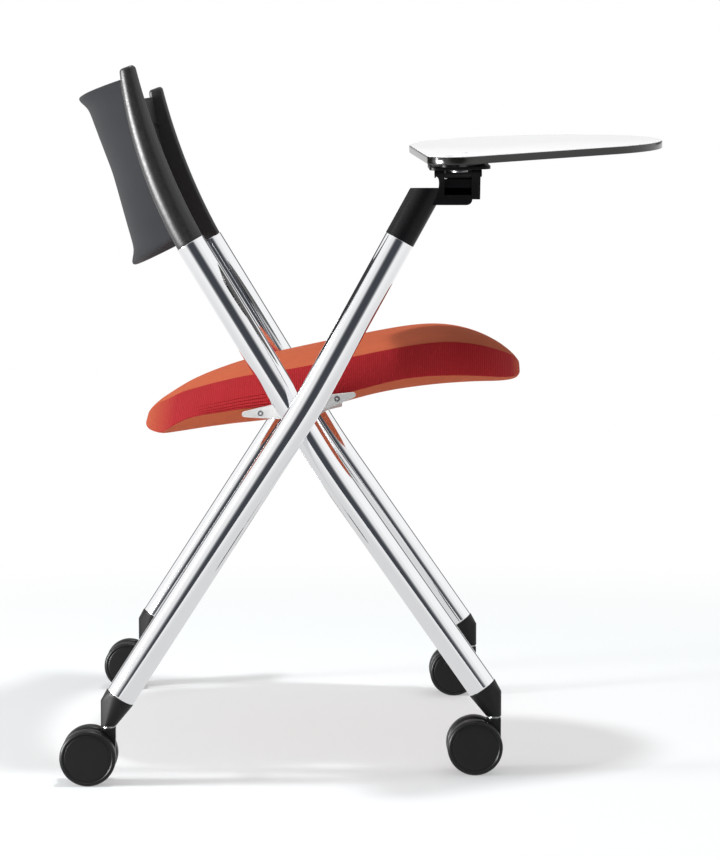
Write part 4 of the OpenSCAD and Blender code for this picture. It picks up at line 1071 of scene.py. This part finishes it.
# The dark screens: their colour, then the range of a direction's axis over which each one fades in or
# out, and how dark it gets
SCREEN_DARK = (0.055, 0.060, 0.070)
FRONT_SCREEN, FRONT_SCREEN_TOP = (0.70, 0.96), (0.55, 0.8)
GREY_SCREEN, GREY_LEVEL = (0.35, 0.7), 0.15
BACK_SCREEN, BACK_SCREEN_FOOT, BACK_SCREEN_TOP, BACK_LEVEL = (0.66, 0.76), (0.04, 0.10), (0.40, 0.50), 0.9
# Each light: name, place, aim, two sizes, watts, and whether it lights gloss alone
LIGHTS = (
    ("key", (0.324, -0.30, 3.5), (0, 0, 0.4), 0.25, 0.25, 54, False),
    ("strip", (-2.2, -0.5, 0.9), (0, 0, 0.6), 0.4, 1.2, 30, False),
    ("rim", (-1.7, -0.80, 0.32), (-0.2, -0.20, 0.65), 0.9, 0.55, 72, True))
CAMERA_PLACE = (-0.0457957, -3.0376492, 0.60482)
CAMERA_PITCH, CAMERA_YAW, CAMERA_LENS, CAMERA_SENSOR = 85.36, -0.752, 110.58, 36


def fresh_sheet(owner):
    """An empty node tree on a material or a world."""
    owner.use_nodes = True
    owner.node_tree.nodes.clear()
    return Sheet(owner.node_tree)


def floor_nodes(sheet):
    """A white floor that keeps the object's shadow as a pale grey. Gloss sees it as a pale grey, with
    painted shade that makes it darker near the object.
    """
    path = sheet.add("ShaderNodeLightPath")
    camera_ray = path.outputs["Is Camera Ray"]
    other_ray = sheet.math("MAXIMUM", path.outputs["Is Glossy Ray"], path.outputs["Is Transmission Ray"])
    place = sheet.add("ShaderNodeTexCoord").outputs["Object"]
    distance = sheet.add("ShaderNodeVectorMath", {0: place}, operation="LENGTH").outputs["Value"]
    seen = sheet.math("MULTIPLY", camera_ray, sheet.soft_step(distance, *FLOOR_GLOW))
    plain = sheet.add("ShaderNodeBsdfDiffuse", {"Color": (*FLOOR_COLOUR, 1)})
    # Painted shade: in gloss the floor glows less near the object
    shaded_gloss_level = sheet.math("MULTIPLY", other_ray, sheet.soft_step(distance, *FLOOR_GLOSS_SHADE))
    glow = sheet.add("ShaderNodeEmission", {"Strength": sheet.math("ADD", camera_ray, shaded_gloss_level)})
    both = sheet.add("ShaderNodeMixShader", {0: sheet.math("ADD", seen, other_ray), 1: plain.outputs[0],
                                             2: glow.outputs[0]})
    sheet.add("ShaderNodeOutputMaterial", {"Surface": both.outputs[0]})


def world_nodes(sheet):
    """White for the camera. Gloss also sees dark screens, as in a studio, and diffuse light is plain."""
    way = sheet.add("ShaderNodeSeparateXYZ", {0: sheet.add("ShaderNodeTexCoord").outputs["Generated"]})
    y, z = way.outputs["Y"], way.outputs["Z"]
    ahead = sheet.math("MULTIPLY", y, -1.0)
    below = sheet.math("SUBTRACT", 1.0, sheet.soft_step(z, *FRONT_SCREEN_TOP))
    front = sheet.math("MULTIPLY", sheet.soft_step(ahead, *FRONT_SCREEN), below)
    grey = sheet.math("MULTIPLY", sheet.soft_step(ahead, *GREY_SCREEN), GREY_LEVEL)
    below = sheet.math("SUBTRACT", 1.0, sheet.soft_step(z, *BACK_SCREEN_TOP))
    strip = sheet.math("MULTIPLY", sheet.soft_step(z, *BACK_SCREEN_FOOT), below)
    back = sheet.math("MULTIPLY", sheet.soft_step(y, *BACK_SCREEN), strip)
    back = sheet.math("MULTIPLY", back, BACK_LEVEL)
    dark = sheet.math("MAXIMUM", sheet.math("MAXIMUM", front, back), grey)
    path = sheet.add("ShaderNodeLightPath")
    camera_ray = path.outputs["Is Camera Ray"]
    dark = sheet.math("MULTIPLY", dark, sheet.math("SUBTRACT", 1.0, camera_ray))
    shown = sheet.math("MAXIMUM", sheet.math("MAXIMUM", camera_ray, path.outputs["Is Glossy Ray"]),
                       path.outputs["Is Transmission Ray"])
    seen = sheet.add("ShaderNodeBackground", {"Color": sheet.mix(dark, (1, 1, 1), SCREEN_DARK)})
    light = sheet.add("ShaderNodeBackground", {"Color": (1, 1, 1, 1), "Strength": LIGHT_LEVEL})
    both = sheet.add("ShaderNodeMixShader", {0: shown, 1: light.outputs[0], 2: seen.outputs[0]})
    sheet.add("ShaderNodeOutputWorld", {"Surface": both.outputs[0]})


bm = bmesh.new()
bm.faces.new([bm.verts.new((x, y, 0)) for x, y in FLOOR_CORNERS])
floor = bpy.data.objects.new("floor", bpy.data.meshes.new("floor"))
bm.to_mesh(floor.data)
bm.free()
bpy.context.scene.collection.objects.link(floor)
floor_paint = bpy.data.materials.new("floor_white")
floor_nodes(fresh_sheet(floor_paint))
floor.data.materials.append(floor_paint)
floor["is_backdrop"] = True

world = bpy.context.scene.world or bpy.data.worlds.new("studio")
bpy.context.scene.world = world
world_nodes(fresh_sheet(world))

for name, place, aim, size, size_y, watts, gloss_only in LIGHTS:
    lamp = bpy.data.lights.new(name, "AREA")
    lamp.shape = "RECTANGLE"
    lamp.size, lamp.size_y, lamp.energy = size, size_y, watts
    item = bpy.data.objects.new(name, lamp)
    item.location = place
    item.visible_diffuse = not gloss_only
    item.rotation_euler = (Vector(aim) - Vector(place)).to_track_quat("-Z", "Y").to_euler()
    bpy.context.scene.collection.objects.link(item)

camera = bpy.data.objects.new("camera", bpy.data.cameras.new("camera"))
camera.location = CAMERA_PLACE
camera.rotation_euler = (math.radians(CAMERA_PITCH), 0, math.radians(CAMERA_YAW))
camera.data.lens = CAMERA_LENS
camera.data.sensor_width = CAMERA_SENSOR
bpy.context.scene.collection.objects.link(camera)
bpy.context.scene.camera = camera
bpy.context.scene.view_settings.view_transform = "Standard"

low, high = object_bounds()
